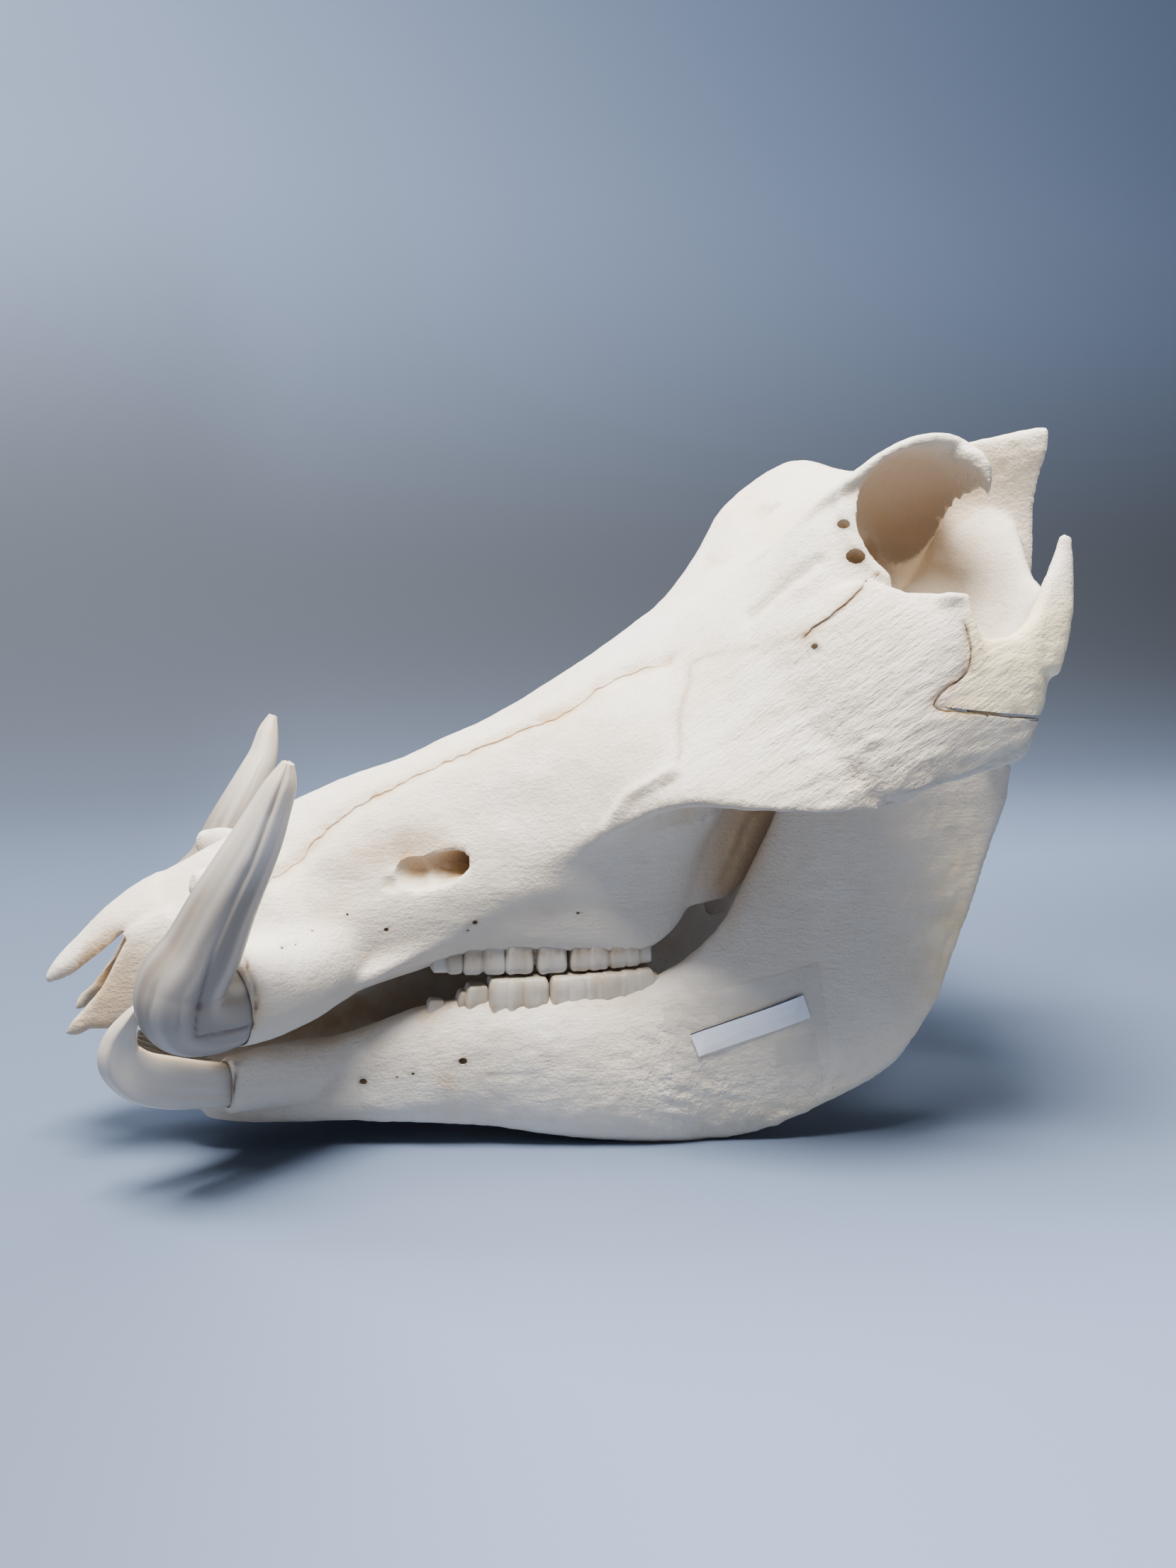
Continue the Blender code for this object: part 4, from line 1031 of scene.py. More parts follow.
@dataclass
class CheekTeeth:
    """One row of cheek teeth on both sides, each tooth grown from enamel columns."""

    row: Row
    forms: bpy.types.NodeTree
    material: bpy.types.Material
    voxel: float = TOOTH_VOXEL

    def plan(self) -> list[list[tuple[float, ...]]]:
        """Each tooth's columns on the right side, as (x, y, half length, half width, lowest, highest, lean)."""
        if self.row is Row.UPPER:
            return [[(-71.4, 26.6, 2.1, 3.2, 60.2, 72, 4)],
                    [(-66.2, 28.0, 2.5, 4.4, 58.4, 72, 3), (-61.8, 28.6, 2.4, 4.7, 57.9, 72, 0)],
                    [(-56.0, 28.8, 2.9, 5.4, 57.4, 72, 2), (-49.2, 29.2, 3.2, 5.6, 57.2, 72, -2)],
                    [(-40.9, 29.8, 4.2, 6.0, 57.0, 72, 2), (-30.5, 30.6, 4.5, 6.2, 56.8, 72, -2)],
                    [(-21.2, 31.4, 3.0, 6.2, 57.1, 74, 1), (-15.2, 32.2, 3.1, 6.2, 57.3, 74, 0),
                     (-9.0, 33.0, 2.5, 6.1, 57.8, 74, -1), (-4.3, 33.6, 2.2, 5.8, 58.2, 74, -3),
                     (-0.2, 33.8, 2.0, 5.2, 59.0, 74, -6)]]
        return [[(-68.4, 26.6, 2.6, 3.0, 34, 48.8, 9)],
                [(-59.2, 28.3, 2.6, 3.6, 34, 51.4, 12), (-55.0, 29.2, 3.4, 4.1, 34, 53.6, 4)],
                [(-47.8, 31.2, 3.2, 5.2, 34, 56.0, 1), (-42.2, 31.9, 3.3, 5.4, 34, 56.2, 0),
                 (-36.0, 32.6, 3.9, 5.6, 34, 56.3, -1)],
                [(-28.3, 33.6, 3.0, 5.6, 34, 56.4, 1), (-22.6, 34.2, 3.0, 5.7, 34, 56.5, 0),
                 (-17.0, 34.9, 3.0, 5.7, 34, 56.7, 0), (-11.2, 35.6, 3.2, 5.7, 34, 57.0, 0),
                 (-5.4, 36.3, 3.2, 5.6, 34, 57.4, 0), (-0.2, 36.9, 2.9, 5.3, 34, 57.7, -2),
                 (3.8, 37.3, 2.2, 4.6, 34, 55.6, -8)]]

    def column_form(self) -> bpy.types.Object:
        """A rounded upright block one millimetre in half size, copied to every column."""
        bpy.ops.mesh.primitive_cube_add(size=2 * MM)
        form = bpy.context.object
        bevel = form.modifiers.new("round", "BEVEL")
        bevel.width = 0.36 * MM
        bevel.segments = 4
        apply_modifiers(form)
        return form

    def tooth(self, columns: list[tuple[float, ...]], form: bpy.types.Object, number: int) -> bpy.types.Object:
        """One tooth of the right side."""
        mesh = bpy.data.meshes.new("columns")
        middles = [(x * MM, y * MM, (low + high) / 2 * MM) for x, y, _, _, low, high, _ in columns]
        mesh.from_pydata(middles, [], [])
        turns = [(0, math.radians(lean), 0) for *_, lean in columns]
        girths = [(long * 1.12, wide, (high - low) / 2) for _, _, long, wide, low, high, _ in columns]
        for name, values in [("turn", turns), ("girth", girths)]:
            flat = np.array(values, np.float32).ravel()
            mesh.attributes.new(name, "FLOAT_VECTOR", "POINT").data.foreach_set("vector", flat)
        made = bpy.data.objects.new(self.row.value + "_tooth", mesh)
        bpy.context.scene.collection.objects.link(made)
        grown(made, self.forms, Form=form, Material=self.material)
        fuse(made, self.voxel, 0.35)
        p = coords(made)
        rise = 0.16 * waves(stretched(p, (0, 0, 1), 5.0), 1.5, 40 + number) + 0.10 * waves(p, 3, 50 + number)
        move_to(made, p + normals_of(made) * rise[:, None])
        return made

    def build(self) -> bpy.types.Object:
        """The whole row, left and right."""
        form = self.column_form()
        made = []
        for number, columns in enumerate(self.plan()):
            made += both_sides(self.tooth(columns, form, number))
        bpy.data.objects.remove(form)
        teeth = joined(self.row.value + "_cheek_teeth", made)
        thin_out(teeth, TOOTH_FACES)
        return teeth


@dataclass
class UpperTusk:
    """A big upper tusk, out of its socket and curving up."""

    side: Side
    slim: float = 1.0
    groove: float = 0.7

    def rings(self, extra: float, count: int, rings: int) -> list[np.ndarray]:
        """The right tusk's rings, or those of a wider one that hollows the socket."""
        path = np.array([(-112, 35, 60.5), (-126, 44, 59.3), (-137.5, 52.5, 58.6), (-144.6, 58.5, 62),
                         (-144.4, 61, 70), (-138.9, 63.3, 79.5), (-132.7, 66, 92.9), (-123.6, 69, 110.4),
                         (-119.7, 70.5, 118.9), (-115.9, 72, 127.5), (-113.9, 72.8, 133.4)], float)
        sizes = np.array([(19, 22), (23, 24.5), (24, 27), (25, 28.6), (24, 27.5), (21, 23.8), (18, 20.2),
                          (14.3, 14.6), (11.6, 11.9), (8.2, 8.6), (3.4, 3.4)])
        sizes = sizes * self.slim
        path[5:9, 0] += 12 * (1 - self.slim)
        path[0] += (extra, -extra, 0)
        return sweep_rings(path, sizes + extra, count, rings, power=2.15)

    def on_side(self, name: str, rings: list[np.ndarray]) -> bpy.types.Object:
        """A body through the rings, on the tusk's own side."""
        return loft(name, [ring * (1, self.side.value, 1) for ring in rings])

    def bed(self) -> bpy.types.Object:
        """A slightly wider tusk that hollows the socket."""
        return self.on_side("bed", self.rings(0.9, 40, 50))

    def build(self) -> bpy.types.Object:
        """The tusk with its lengthwise grooves and worn front."""
        rings = self.rings(0.0, 96, 150)
        tusk = self.on_side("upper_tusk_" + self.side.name.lower() + "_ivory", rings)
        p = coords(tusk)
        n = normals_of(tusk)
        around = np.tile(np.linspace(0, 2 * np.pi, 96, endpoint=False), 150)
        along = np.repeat(np.linspace(0, 1, 150), 96)
        ends = len(p) - len(around)
        around = np.append(around, np.zeros(ends))
        along = np.append(along, [0.0, 1.0])
        strand = np.column_stack([5 * np.cos(around), 5 * np.sin(around), 3 * along])
        rise = 0.16 * waves(strand, 0.9, 61) + 0.22 * waves(strand, 2.3, 62)
        fade = np.clip((134 - p[:, 2]) / 14, 0, 1)
        main, second, front = (distance_to(p, line) for line in (TUSK_GROOVE, TUSK_SECOND, TUSK_FRONT))
        rise -= self.groove * fade * np.exp(-(main / 0.8) ** 2)
        rise -= 0.5 * self.groove * np.exp(-(second / 1.3) ** 2)
        rise -= 0.5 * self.groove * np.exp(-(front / 1.1) ** 2)
        move_to(tusk, p + n * rise[:, None])
        made = tusk.data.attributes.new("strand", "FLOAT_VECTOR", "POINT")
        made.data.foreach_set("vector", strand.astype(np.float32).ravel())
        lines = 0.75 * fade * np.exp(-(main / 0.45) ** 2) + 0.3 * np.exp(-(second / 0.6) ** 2)
        lines += 0.45 * np.exp(-(front / 0.5) ** 2) + near(p, TUSK_SPOT, (1.1, 3, 1.1))
        put_values(tusk, "stain", lines)
        put_values(tusk, "warmth", 0.6 * near(p, (-114, -74, 130), (9, 9, 14))
                   + 0.2 * (0.5 + 0.5 * waves(strand, 2, 63)))
        # Painted shade: the tusk darkens towards its lower end.
        put_values(tusk, "dusk", np.clip((118 - p[:, 2]) / 22, 0, 1) * (0.8 + 0.3 * waves(strand, 1.2, 64)))
        return tusk


@dataclass
class LowerTusk:
    """A flat lower tusk that curves up in front of the upper one."""

    side: Side

    def body(self, name: str, extra: float, count: int, rings: int) -> bpy.types.Object:
        """The tusk's body on its own side, made wider by the extra for its socket."""
        sizes = [(7, 11), (7.5, 13.6), (7.8, 14.6), (7.8, 15.8), (7.6, 15.4), (7, 13.2), (5.5, 10), (3.6, 5.6),
                 (1.6, 1.9)]
        made = sweep_rings([(-118 + extra, 23 - extra, 25.5), (-133.9, 31, 27), (-142.8, 36, 29.5),
                            (-150.9, 41, 32.5), (-158.9, 46, 36.8), (-164.2, 50, 43.8), (-163.8, 52, 51.2),
                            (-160.4, 53.5, 57.6), (-158.2, 54, 61.2)],
                           [(a + extra, b + extra) for a, b in sizes], count, rings, power=3.0)
        return loft(name, [ring * (1, self.side.value, 1) for ring in made])

    def bed(self) -> bpy.types.Object:
        """A slightly wider tusk that hollows the socket."""
        return self.body("bed", 0.9, 30, 30)

    def build(self) -> bpy.types.Object:
        """The tusk with fine lengthwise lines."""
        tusk = self.body("lower_tusk_" + self.side.name.lower() + "_ivory", 0.0, 72, 110)
        p = coords(tusk)
        around = np.append(np.tile(np.linspace(0, 2 * np.pi, 72, endpoint=False), 110), [0.0, 0.0])
        along = np.append(np.repeat(np.linspace(0, 1, 110), 72), [0.0, 1.0])
        strand = np.column_stack([3 * np.cos(around), 3 * np.sin(around), 3 * along])
        rise = 0.10 * waves(strand, 0.8, 71) + 0.14 * waves(strand, 2.0, 72)
        move_to(tusk, p + normals_of(tusk) * rise[:, None])
        made = tusk.data.attributes.new("strand", "FLOAT_VECTOR", "POINT")
        made.data.foreach_set("vector", strand.astype(np.float32).ravel())
        top = np.clip((np.sin(around) - 0.72) / 0.12, 0, 1)
        put_values(tusk, "stain", 0.8 * near(p, (-130, -30, 28), (4, 6, 9)))
        # Painted shade: every side but the top is darkened a little.
        put_values(tusk, "dusk", 0.12 * (1 - top) * (0.8 + 0.4 * waves(strand, 1.4, 74)))
        put_values(tusk, "warmth", 0.75 * top + 0.28 + 0.15 * waves(strand, 1.5, 73))
        return tusk


@dataclass
class Incisors:
    """The front stumps of the lower jaw."""

    def build(self) -> bpy.types.Object:
        """Four worn stumps, two on each side."""
        made = []
        for y in (3.3, 9.6):
            one = sweep("incisor", [(-134, y, 21.5), (-150, y * 0.95, 26.5), (-158, y * 0.85, 30.5),
                                    (-163, y * 0.8, 34)],
                        [(5.6, 6), (5.6, 6), (5.4, 4.5), (4.6, 1.8)], count=40, rings=50)
            p = coords(one)
            rise = 0.12 * waves(stretched(p, (1, 0, 0.3), 6.0), 1.2, 81)
            move_to(one, p + normals_of(one) * rise[:, None])
            made += both_sides(one)
        return joined("lower_incisors", made)


@dataclass
class Sheet:
    """A thin sheet stuck on the near side of the lower jaw, following its surface."""

    name: str
    corners: Line
    lift: float
    thickness: float
    across: int
    down: int
    calming: int = 14

    def build(self, jaw: bpy.types.Object) -> bpy.types.Object:
        """Lays the sheet on the jaw and gives it a thickness and a UV map.

        Args:
            jaw: the bone that carries it, in the skull's own frame.

        Returns:
            The sheet.
        """
        tree = BVHTree.FromObject(jaw, bpy.context.evaluated_depsgraph_get())
        a, b, c, d = (np.array(corner) for corner in self.corners)
        spots, faces, places = [], [], []
        for j in range(self.down + 1):
            for i in range(self.across + 1):
                u, v = i / self.across, j / self.down
                flat = (1 - v) * ((1 - u) * a + u * b) + v * ((1 - u) * d + u * c)
                spot = tree.ray_cast(Vector((flat[0], -140, flat[2])) * MM, Vector((0, 1, 0)))[0]
                spots.append(np.array(spot) / MM)
                places.append((u, 1 - v))
        grid = np.array(spots).reshape(self.down + 1, self.across + 1, 3)
        calm = grid[:, :, 1]
        for _ in range(self.calming):
            wide = np.pad(calm, 1, mode="edge")
            calm = (wide[:-2, 1:-1] + wide[2:, 1:-1] + wide[1:-1, :-2] + wide[1:-1, 2:]) / 4
        bumps = np.maximum(calm - grid[:, :, 1], 0)
        grid[:, :, 1] = calm - 0.9 * bumps.max() - self.lift
        for j in range(self.down):
            for i in range(self.across):
                k = j * (self.across + 1) + i
                faces.append((k, k + self.across + 1, k + self.across + 2, k + 1))
        mesh = bpy.data.meshes.new(self.name)
        mesh.from_pydata([tuple(p) for p in grid.reshape(-1, 3) * MM], [], faces)
        layer = mesh.uv_layers.new(name="sheet")
        for loop in mesh.loops:
            layer.data[loop.index].uv = places[loop.vertex_index]
        sheet = bpy.data.objects.new(self.name, mesh)
        bpy.context.scene.collection.objects.link(sheet)
        solid = sheet.modifiers.new("thickness", "SOLIDIFY")
        solid.thickness = self.thickness * MM
        solid.offset = 1.0
        apply_modifiers(sheet)
        return sheet


def grain_group() -> bpy.types.NodeTree:
    """A shader group that gives fine relief and soft blotches, stretched by its Stretch input."""
    tree = bpy.data.node_groups.new("grain", "ShaderNodeTree")
    for name, kind, way in [("Place", "NodeSocketVector", "INPUT"), ("Stretch", "NodeSocketVector", "INPUT"),
                            ("Size", "NodeSocketFloat", "INPUT"), ("Height", "NodeSocketFloat", "OUTPUT"),
                            ("Blotch", "NodeSocketFloat", "OUTPUT")]:
        tree.interface.new_socket(name, in_out=way, socket_type=kind)
    w = Tree(tree)
    given = w.node("NodeGroupInput").outputs
    scaled = w.node("ShaderNodeVectorMath", operation="MULTIPLY")
    w.feed(scaled.inputs[0], given["Place"])
    w.feed(scaled.inputs[1], given["Stretch"])
    sized = w.node("ShaderNodeVectorMath", operation="SCALE")
    w.feed(sized.inputs[0], scaled.outputs[0])
    w.feed(sized.inputs["Scale"], given["Size"])
    fine = w.noise(sized.outputs[0], 1.0, 4.0, 0.62)
    broad = w.noise(sized.outputs[0], 0.12, 3.0, 0.55)
    out = w.node("NodeGroupOutput").inputs
    w.feed(out["Height"], w.math("ADD", w.math("MULTIPLY", fine, 0.7), w.math("MULTIPLY", broad, 0.5)))
    w.feed(out["Blotch"], w.band(broad, 0.35, 0.68))
    return tree


def age_group() -> bpy.types.NodeTree:
    """A shader group that yellows and browns a colour where a piece's own values say so."""
    tree = bpy.data.node_groups.new("age", "ShaderNodeTree")
    for name, kind, way in [("Colour", "NodeSocketColor", "INPUT"), ("Tan", "NodeSocketColor", "INPUT"),
                            ("Brown", "NodeSocketColor", "INPUT"), ("Warmth", "NodeSocketFloat", "INPUT"),
                            ("Stain", "NodeSocketFloat", "INPUT"), ("Break", "NodeSocketFloat", "INPUT"),
                            ("Colour", "NodeSocketColor", "OUTPUT")]:
        tree.interface.new_socket(name, in_out=way, socket_type=kind)
    w = Tree(tree)
    given = w.node("NodeGroupInput").outputs
    broken = w.math("MULTIPLY", given["Warmth"], w.math("ADD", w.math("MULTIPLY", given["Break"], 0.7), 0.5))
    tanned = w.mix(w.math("MULTIPLY", broken, 1.0, clamp=True), given["Colour"], given["Tan"])
    stained = w.mix(w.math("MULTIPLY", given["Stain"], 1.0, clamp=True), tanned, given["Brown"])
    w.feed(w.node("NodeGroupOutput").inputs["Colour"], stained)
    return tree


def blank_material(name: str) -> tuple[bpy.types.Material, Tree, bpy.types.Node]:
    """A material, its tree and its Principled shader."""
    made = bpy.data.materials.new(name)
    made.use_nodes = True
    return made, Tree(made.node_tree), made.node_tree.nodes["Principled BSDF"]


def grouped(w: Tree, group: bpy.types.NodeTree, **values: object) -> bpy.types.Node:
    """Places a shared group in a tree and sets its inputs by name."""
    made = w.node("ShaderNodeGroup", node_tree=group)
    for name, value in values.items():
        w.feed(made.inputs[name], value)
    return made


@dataclass(frozen=True)
class BoneFinish:
    """Dry sun-bleached bone with tan stains in its seams and tan in its hollows, with painted shade darkening
    its down-facing surfaces and painted brown shade in its eye sockets, mouth and inward faces.
    """

    name: str
    pale: tuple[float, ...] = (0.885, 0.825, 0.74, 1)
    cream: tuple[float, ...] = (0.82, 0.73, 0.61, 1)
    tan: tuple[float, ...] = (0.58, 0.39, 0.21, 1)
    butter: tuple[float, ...] = (0.97, 0.81, 0.53, 1)
    # Painted shade: the darker, warmer colour laid on surfaces that face down.
    grime: tuple[float, ...] = (0.56, 0.475, 0.37, 1)
    # Painted shade: the brown laid where the bone lies in shade, in eye sockets, mouth and inward faces.
    earth: tuple[float, ...] = (0.42, 0.285, 0.17, 1)
    brown: tuple[float, ...] = (0.085, 0.045, 0.022, 1)
    roughness: float = 0.62

    def make(self, grain: bpy.types.NodeTree, age: bpy.types.NodeTree) -> bpy.types.Material:
        """Builds the material from the shared groups."""
        made, w, shader = blank_material(self.name)
        place = w.node("ShaderNodeTexCoord").outputs["Object"]
        turned = w.node("ShaderNodeMapping")
        w.feed(turned.inputs["Vector"], place)
        turned.inputs["Rotation"].default_value = (0, math.radians(32), 0)
        fine = grouped(w, grain, Place=place, Stretch=(1, 1, 1), Size=900.0)
        strands = grouped(w, grain, Place=turned.outputs[0], Stretch=(0.16, 1, 1), Size=900.0)
        lengthwise = grouped(w, grain, Place=place, Stretch=(0.14, 1, 1), Size=700.0)
        cheek = w.attribute("cheek").outputs["Fac"]
        rough = w.attribute("scar").outputs["Fac"]
        patch = w.noise(place, 26.0, 4.0, 0.6)
        spots = w.noise(place, 240.0, 3.0, 0.6)
        base = w.mix(w.band(patch, 0.36, 0.66), self.pale, self.cream)
        base = w.mix(w.math("MULTIPLY", w.band(spots, 0.55, 0.8), 0.35), base, self.tan)
        strips = w.math("MULTIPLY", strands.outputs["Blotch"], cheek)
        base = w.mix(w.math("MULTIPLY", strips, 0.25), base, self.tan)
        # Painted shade on down-facing surfaces; butter is the bone's own yellow.
        base = w.mix(w.attribute("grime").outputs["Fac"], base, self.grime)
        base = w.mix(w.attribute("butter").outputs["Fac"], base, self.butter)
        # Painted brown shade in the eye sockets, mouth and inward faces.
        base = w.mix(w.attribute("earth").outputs["Fac"], base, self.earth)
        hollow = w.attribute("hollow").outputs["Fac"]
        warm = w.math("ADD", w.attribute("warmth").outputs["Fac"], w.math("MULTIPLY", hollow, 0.75))
        aged = grouped(w, age, Colour=base, Tan=self.tan, Brown=self.brown, Warmth=warm,
                       Stain=w.attribute("stain").outputs["Fac"], Break=fine.outputs["Blotch"])
        w.feed(shader.inputs["Base Color"], aged.outputs["Colour"])
        height = w.math("ADD", w.math("MULTIPLY", fine.outputs["Height"], 0.6),
                        w.math("MULTIPLY", w.math("MULTIPLY", strands.outputs["Height"], cheek), 2.0))
        height = w.math("ADD", height, w.math("MULTIPLY", lengthwise.outputs["Height"], 0.5))
        height = w.math("ADD", height, w.math("MULTIPLY", w.math("MULTIPLY", spots, rough), 2.0))
        bump = w.node("ShaderNodeBump")
        bump.inputs["Strength"].default_value = 1.0
        bump.inputs["Distance"].default_value = 0.9 * MM
        w.feed(bump.inputs["Height"], height)
        w.feed(shader.inputs["Normal"], bump.outputs["Normal"])
        uneven = w.math("MULTIPLY", fine.outputs["Blotch"], 0.14)
        w.feed(shader.inputs["Roughness"], w.math("ADD", uneven, self.roughness))
        return made


@dataclass(frozen=True)
class EnamelFinish:
    """Worn cheek teeth, greyish cream with brown between the columns."""

    name: str
    pale: tuple[float, ...] = (0.54, 0.485, 0.41, 1)
    cream: tuple[float, ...] = (0.43, 0.36, 0.27, 1)
    tan: tuple[float, ...] = (0.30, 0.20, 0.11, 1)
    brown: tuple[float, ...] = (0.07, 0.035, 0.015, 1)
    roughness: float = 0.45

    def make(self, grain: bpy.types.NodeTree, age: bpy.types.NodeTree) -> bpy.types.Material:
        """Builds the material from the shared groups."""
        made, w, shader = blank_material(self.name)
        place = w.node("ShaderNodeTexCoord").outputs["Object"]
        upright = grouped(w, grain, Place=place, Stretch=(1, 1, 0.2), Size=1100.0)
        base = w.mix(upright.outputs["Blotch"], self.pale, self.cream)
        aged = grouped(w, age, Colour=base, Tan=self.tan, Brown=self.brown,
                       Warmth=w.attribute("hollow").outputs["Fac"], Stain=w.attribute("stain").outputs["Fac"],
                       Break=upright.outputs["Blotch"])
        w.feed(shader.inputs["Base Color"], aged.outputs["Colour"])
        bump = w.node("ShaderNodeBump")
        bump.inputs["Strength"].default_value = 0.4
        bump.inputs["Distance"].default_value = 0.15 * MM
        w.feed(bump.inputs["Height"], upright.outputs["Height"])
        w.feed(shader.inputs["Normal"], bump.outputs["Normal"])
        shader.inputs["Roughness"].default_value = self.roughness
        return made


@dataclass(frozen=True)
class IvoryFinish:
    """Dull tusk ivory with fine lengthwise strands, and painted shade on its lower sides."""

    name: str
    pale: tuple[float, ...] = (0.74, 0.70, 0.65, 1)
    cream: tuple[float, ...] = (0.62, 0.56, 0.48, 1)
    # Painted shade for the tusks' lower sides.
    dusk: tuple[float, ...] = (0.21, 0.18, 0.155, 1)
    tan: tuple[float, ...] = (0.66, 0.50, 0.33, 1)
    brown: tuple[float, ...] = (0.10, 0.06, 0.045, 1)
    roughness: float = 0.42

    def make(self, grain: bpy.types.NodeTree, age: bpy.types.NodeTree) -> bpy.types.Material:
        """Builds the material from the shared groups."""
        made, w, shader = blank_material(self.name)
        strand = w.attribute("strand").outputs["Vector"]
        lines = grouped(w, grain, Place=strand, Stretch=(1, 1, 0.5), Size=3.2)
        hairs = grouped(w, grain, Place=strand, Stretch=(1, 1, 0.12), Size=14.0)
        base = w.mix(lines.outputs["Blotch"], self.pale, self.cream)
        # Painted shade laid over the ivory.
        base = w.mix(w.attribute("dusk").outputs["Fac"], base, self.dusk)
        aged = grouped(w, age, Colour=base, Tan=self.tan, Brown=self.brown,
                       Warmth=w.attribute("warmth").outputs["Fac"], Stain=w.attribute("stain").outputs["Fac"],
                       Break=hairs.outputs["Blotch"])
        w.feed(shader.inputs["Base Color"], aged.outputs["Colour"])
        bump = w.node("ShaderNodeBump")
        bump.inputs["Strength"].default_value = 0.35
        bump.inputs["Distance"].default_value = 0.2 * MM
        w.feed(bump.inputs["Height"], hairs.outputs["Height"])
        w.feed(shader.inputs["Normal"], bump.outputs["Normal"])
        uneven = w.math("MULTIPLY", hairs.outputs["Blotch"], 0.12)
        w.feed(shader.inputs["Roughness"], w.math("ADD", uneven, self.roughness))
        return made


@dataclass(frozen=True)
class PaperFinish:
    """White paper with a thin dark line along its top edge."""

    name: str = "blank_paper"
    white: tuple[float, ...] = (0.88, 0.89, 0.95, 1)
    ink: tuple[float, ...] = (0.03, 0.03, 0.04, 1)
    line_from: float = 0.945

    def make(self) -> bpy.types.Material:
        """Builds the material on the sheet's own UV map."""
        made, w, shader = blank_material(self.name)
        place = w.node("ShaderNodeUVMap", uv_map="sheet").outputs["UV"]
        split = w.node("ShaderNodeSeparateXYZ")
        w.feed(split.inputs[0], place)
        fibre = w.noise(place, 60.0, 3.0, 0.7)
        height = w.math("ADD", split.outputs["Y"], w.math("MULTIPLY", fibre, 0.01))
        edge = w.band(height, self.line_from, self.line_from + 0.02)
        w.feed(shader.inputs["Base Color"], w.mix(edge, self.white, self.ink))
        bump = w.node("ShaderNodeBump")
        bump.inputs["Strength"].default_value = 0.15
        bump.inputs["Distance"].default_value = 0.05 * MM
        w.feed(bump.inputs["Height"], fibre)
        w.feed(shader.inputs["Normal"], bump.outputs["Normal"])
        shader.inputs["Roughness"].default_value = 0.6
        return made


@dataclass(frozen=True)
class TapeFinish:
    """Clear sticky tape, slightly yellowed, with shallow creases."""

    name: str = "clear_tape"
    tint: tuple[float, ...] = (0.62, 0.56, 0.47, 1)
    cover: float = 0.10
    roughness: float = 0.28

    def make(self) -> bpy.types.Material:
        """Builds the material on the sheet's own UV map."""
        made, w, shader = blank_material(self.name)
        place = w.node("ShaderNodeUVMap", uv_map="sheet").outputs["UV"]
        creases = w.noise(place, 5.0, 3.0, 0.6)
        w.feed(shader.inputs["Base Color"], w.mix(w.band(creases, 0.4, 0.6), self.tint, (0.74, 0.71, 0.66, 1)))
        bump = w.node("ShaderNodeBump")
        bump.inputs["Strength"].default_value = 0.3
        bump.inputs["Distance"].default_value = 0.3 * MM
        w.feed(bump.inputs["Height"], creases)
        w.feed(shader.inputs["Normal"], bump.outputs["Normal"])
        shader.inputs["Roughness"].default_value = self.roughness
        shader.inputs["Alpha"].default_value = self.cover
        return made


@dataclass(frozen=True)
class BackdropFinish:
    """Smooth pale blue-grey studio card with painted shade: darker where it bends up, at its left and on the
    floor round the skull.
    """

    name: str = "studio_card"
    colour: tuple[float, ...] = (0.19, 0.255, 0.395, 1)
    # Painted shade where the card bends up.
    dark: tuple[float, ...] = (0.08, 0.09, 0.112, 1)
    # Painted shade for the floor's left and the floor round the skull.
    painted_floor_shade: tuple[float, ...] = (0.115, 0.15, 0.225, 1)
    bend: tuple[float, ...] = (0.35, 1.15)
    rise: tuple[float, ...] = (0.16, 0.75)

    def make(self) -> bpy.types.Material:
        """Builds the material from the card's own depth and height."""
        made, w, shader = blank_material(self.name)
        split = w.node("ShaderNodeSeparateXYZ")
        w.feed(split.inputs[0], w.node("ShaderNodeTexCoord").outputs["Object"])
        # Painted shade: dark along the bend, darker to the left, and a painted shadow on the floor round the
        # skull.
        far = w.band(split.outputs["Y"], *self.bend)
        low = w.math("SUBTRACT", 1.0, w.band(split.outputs["Z"], *self.rise))
        left = w.math("SUBTRACT", 1.0, w.band(split.outputs["X"], -0.18, 0.0))
        painted_skull_shadow = w.math("MULTIPLY", w.band(split.outputs["Y"], -0.21, -0.04),
                       w.math("SUBTRACT", 0.85, w.band(split.outputs["Y"], 0.12, 0.45)), clamp=True)
        shade = w.math("MULTIPLY", w.math("MAXIMUM", left, painted_skull_shadow), low)
        card = w.mix(shade, self.colour, self.painted_floor_shade)
        w.feed(shader.inputs["Base Color"], w.mix(w.math("MULTIPLY", far, low), card, self.dark))
        shader.inputs["Roughness"].default_value = 0.55
        return made


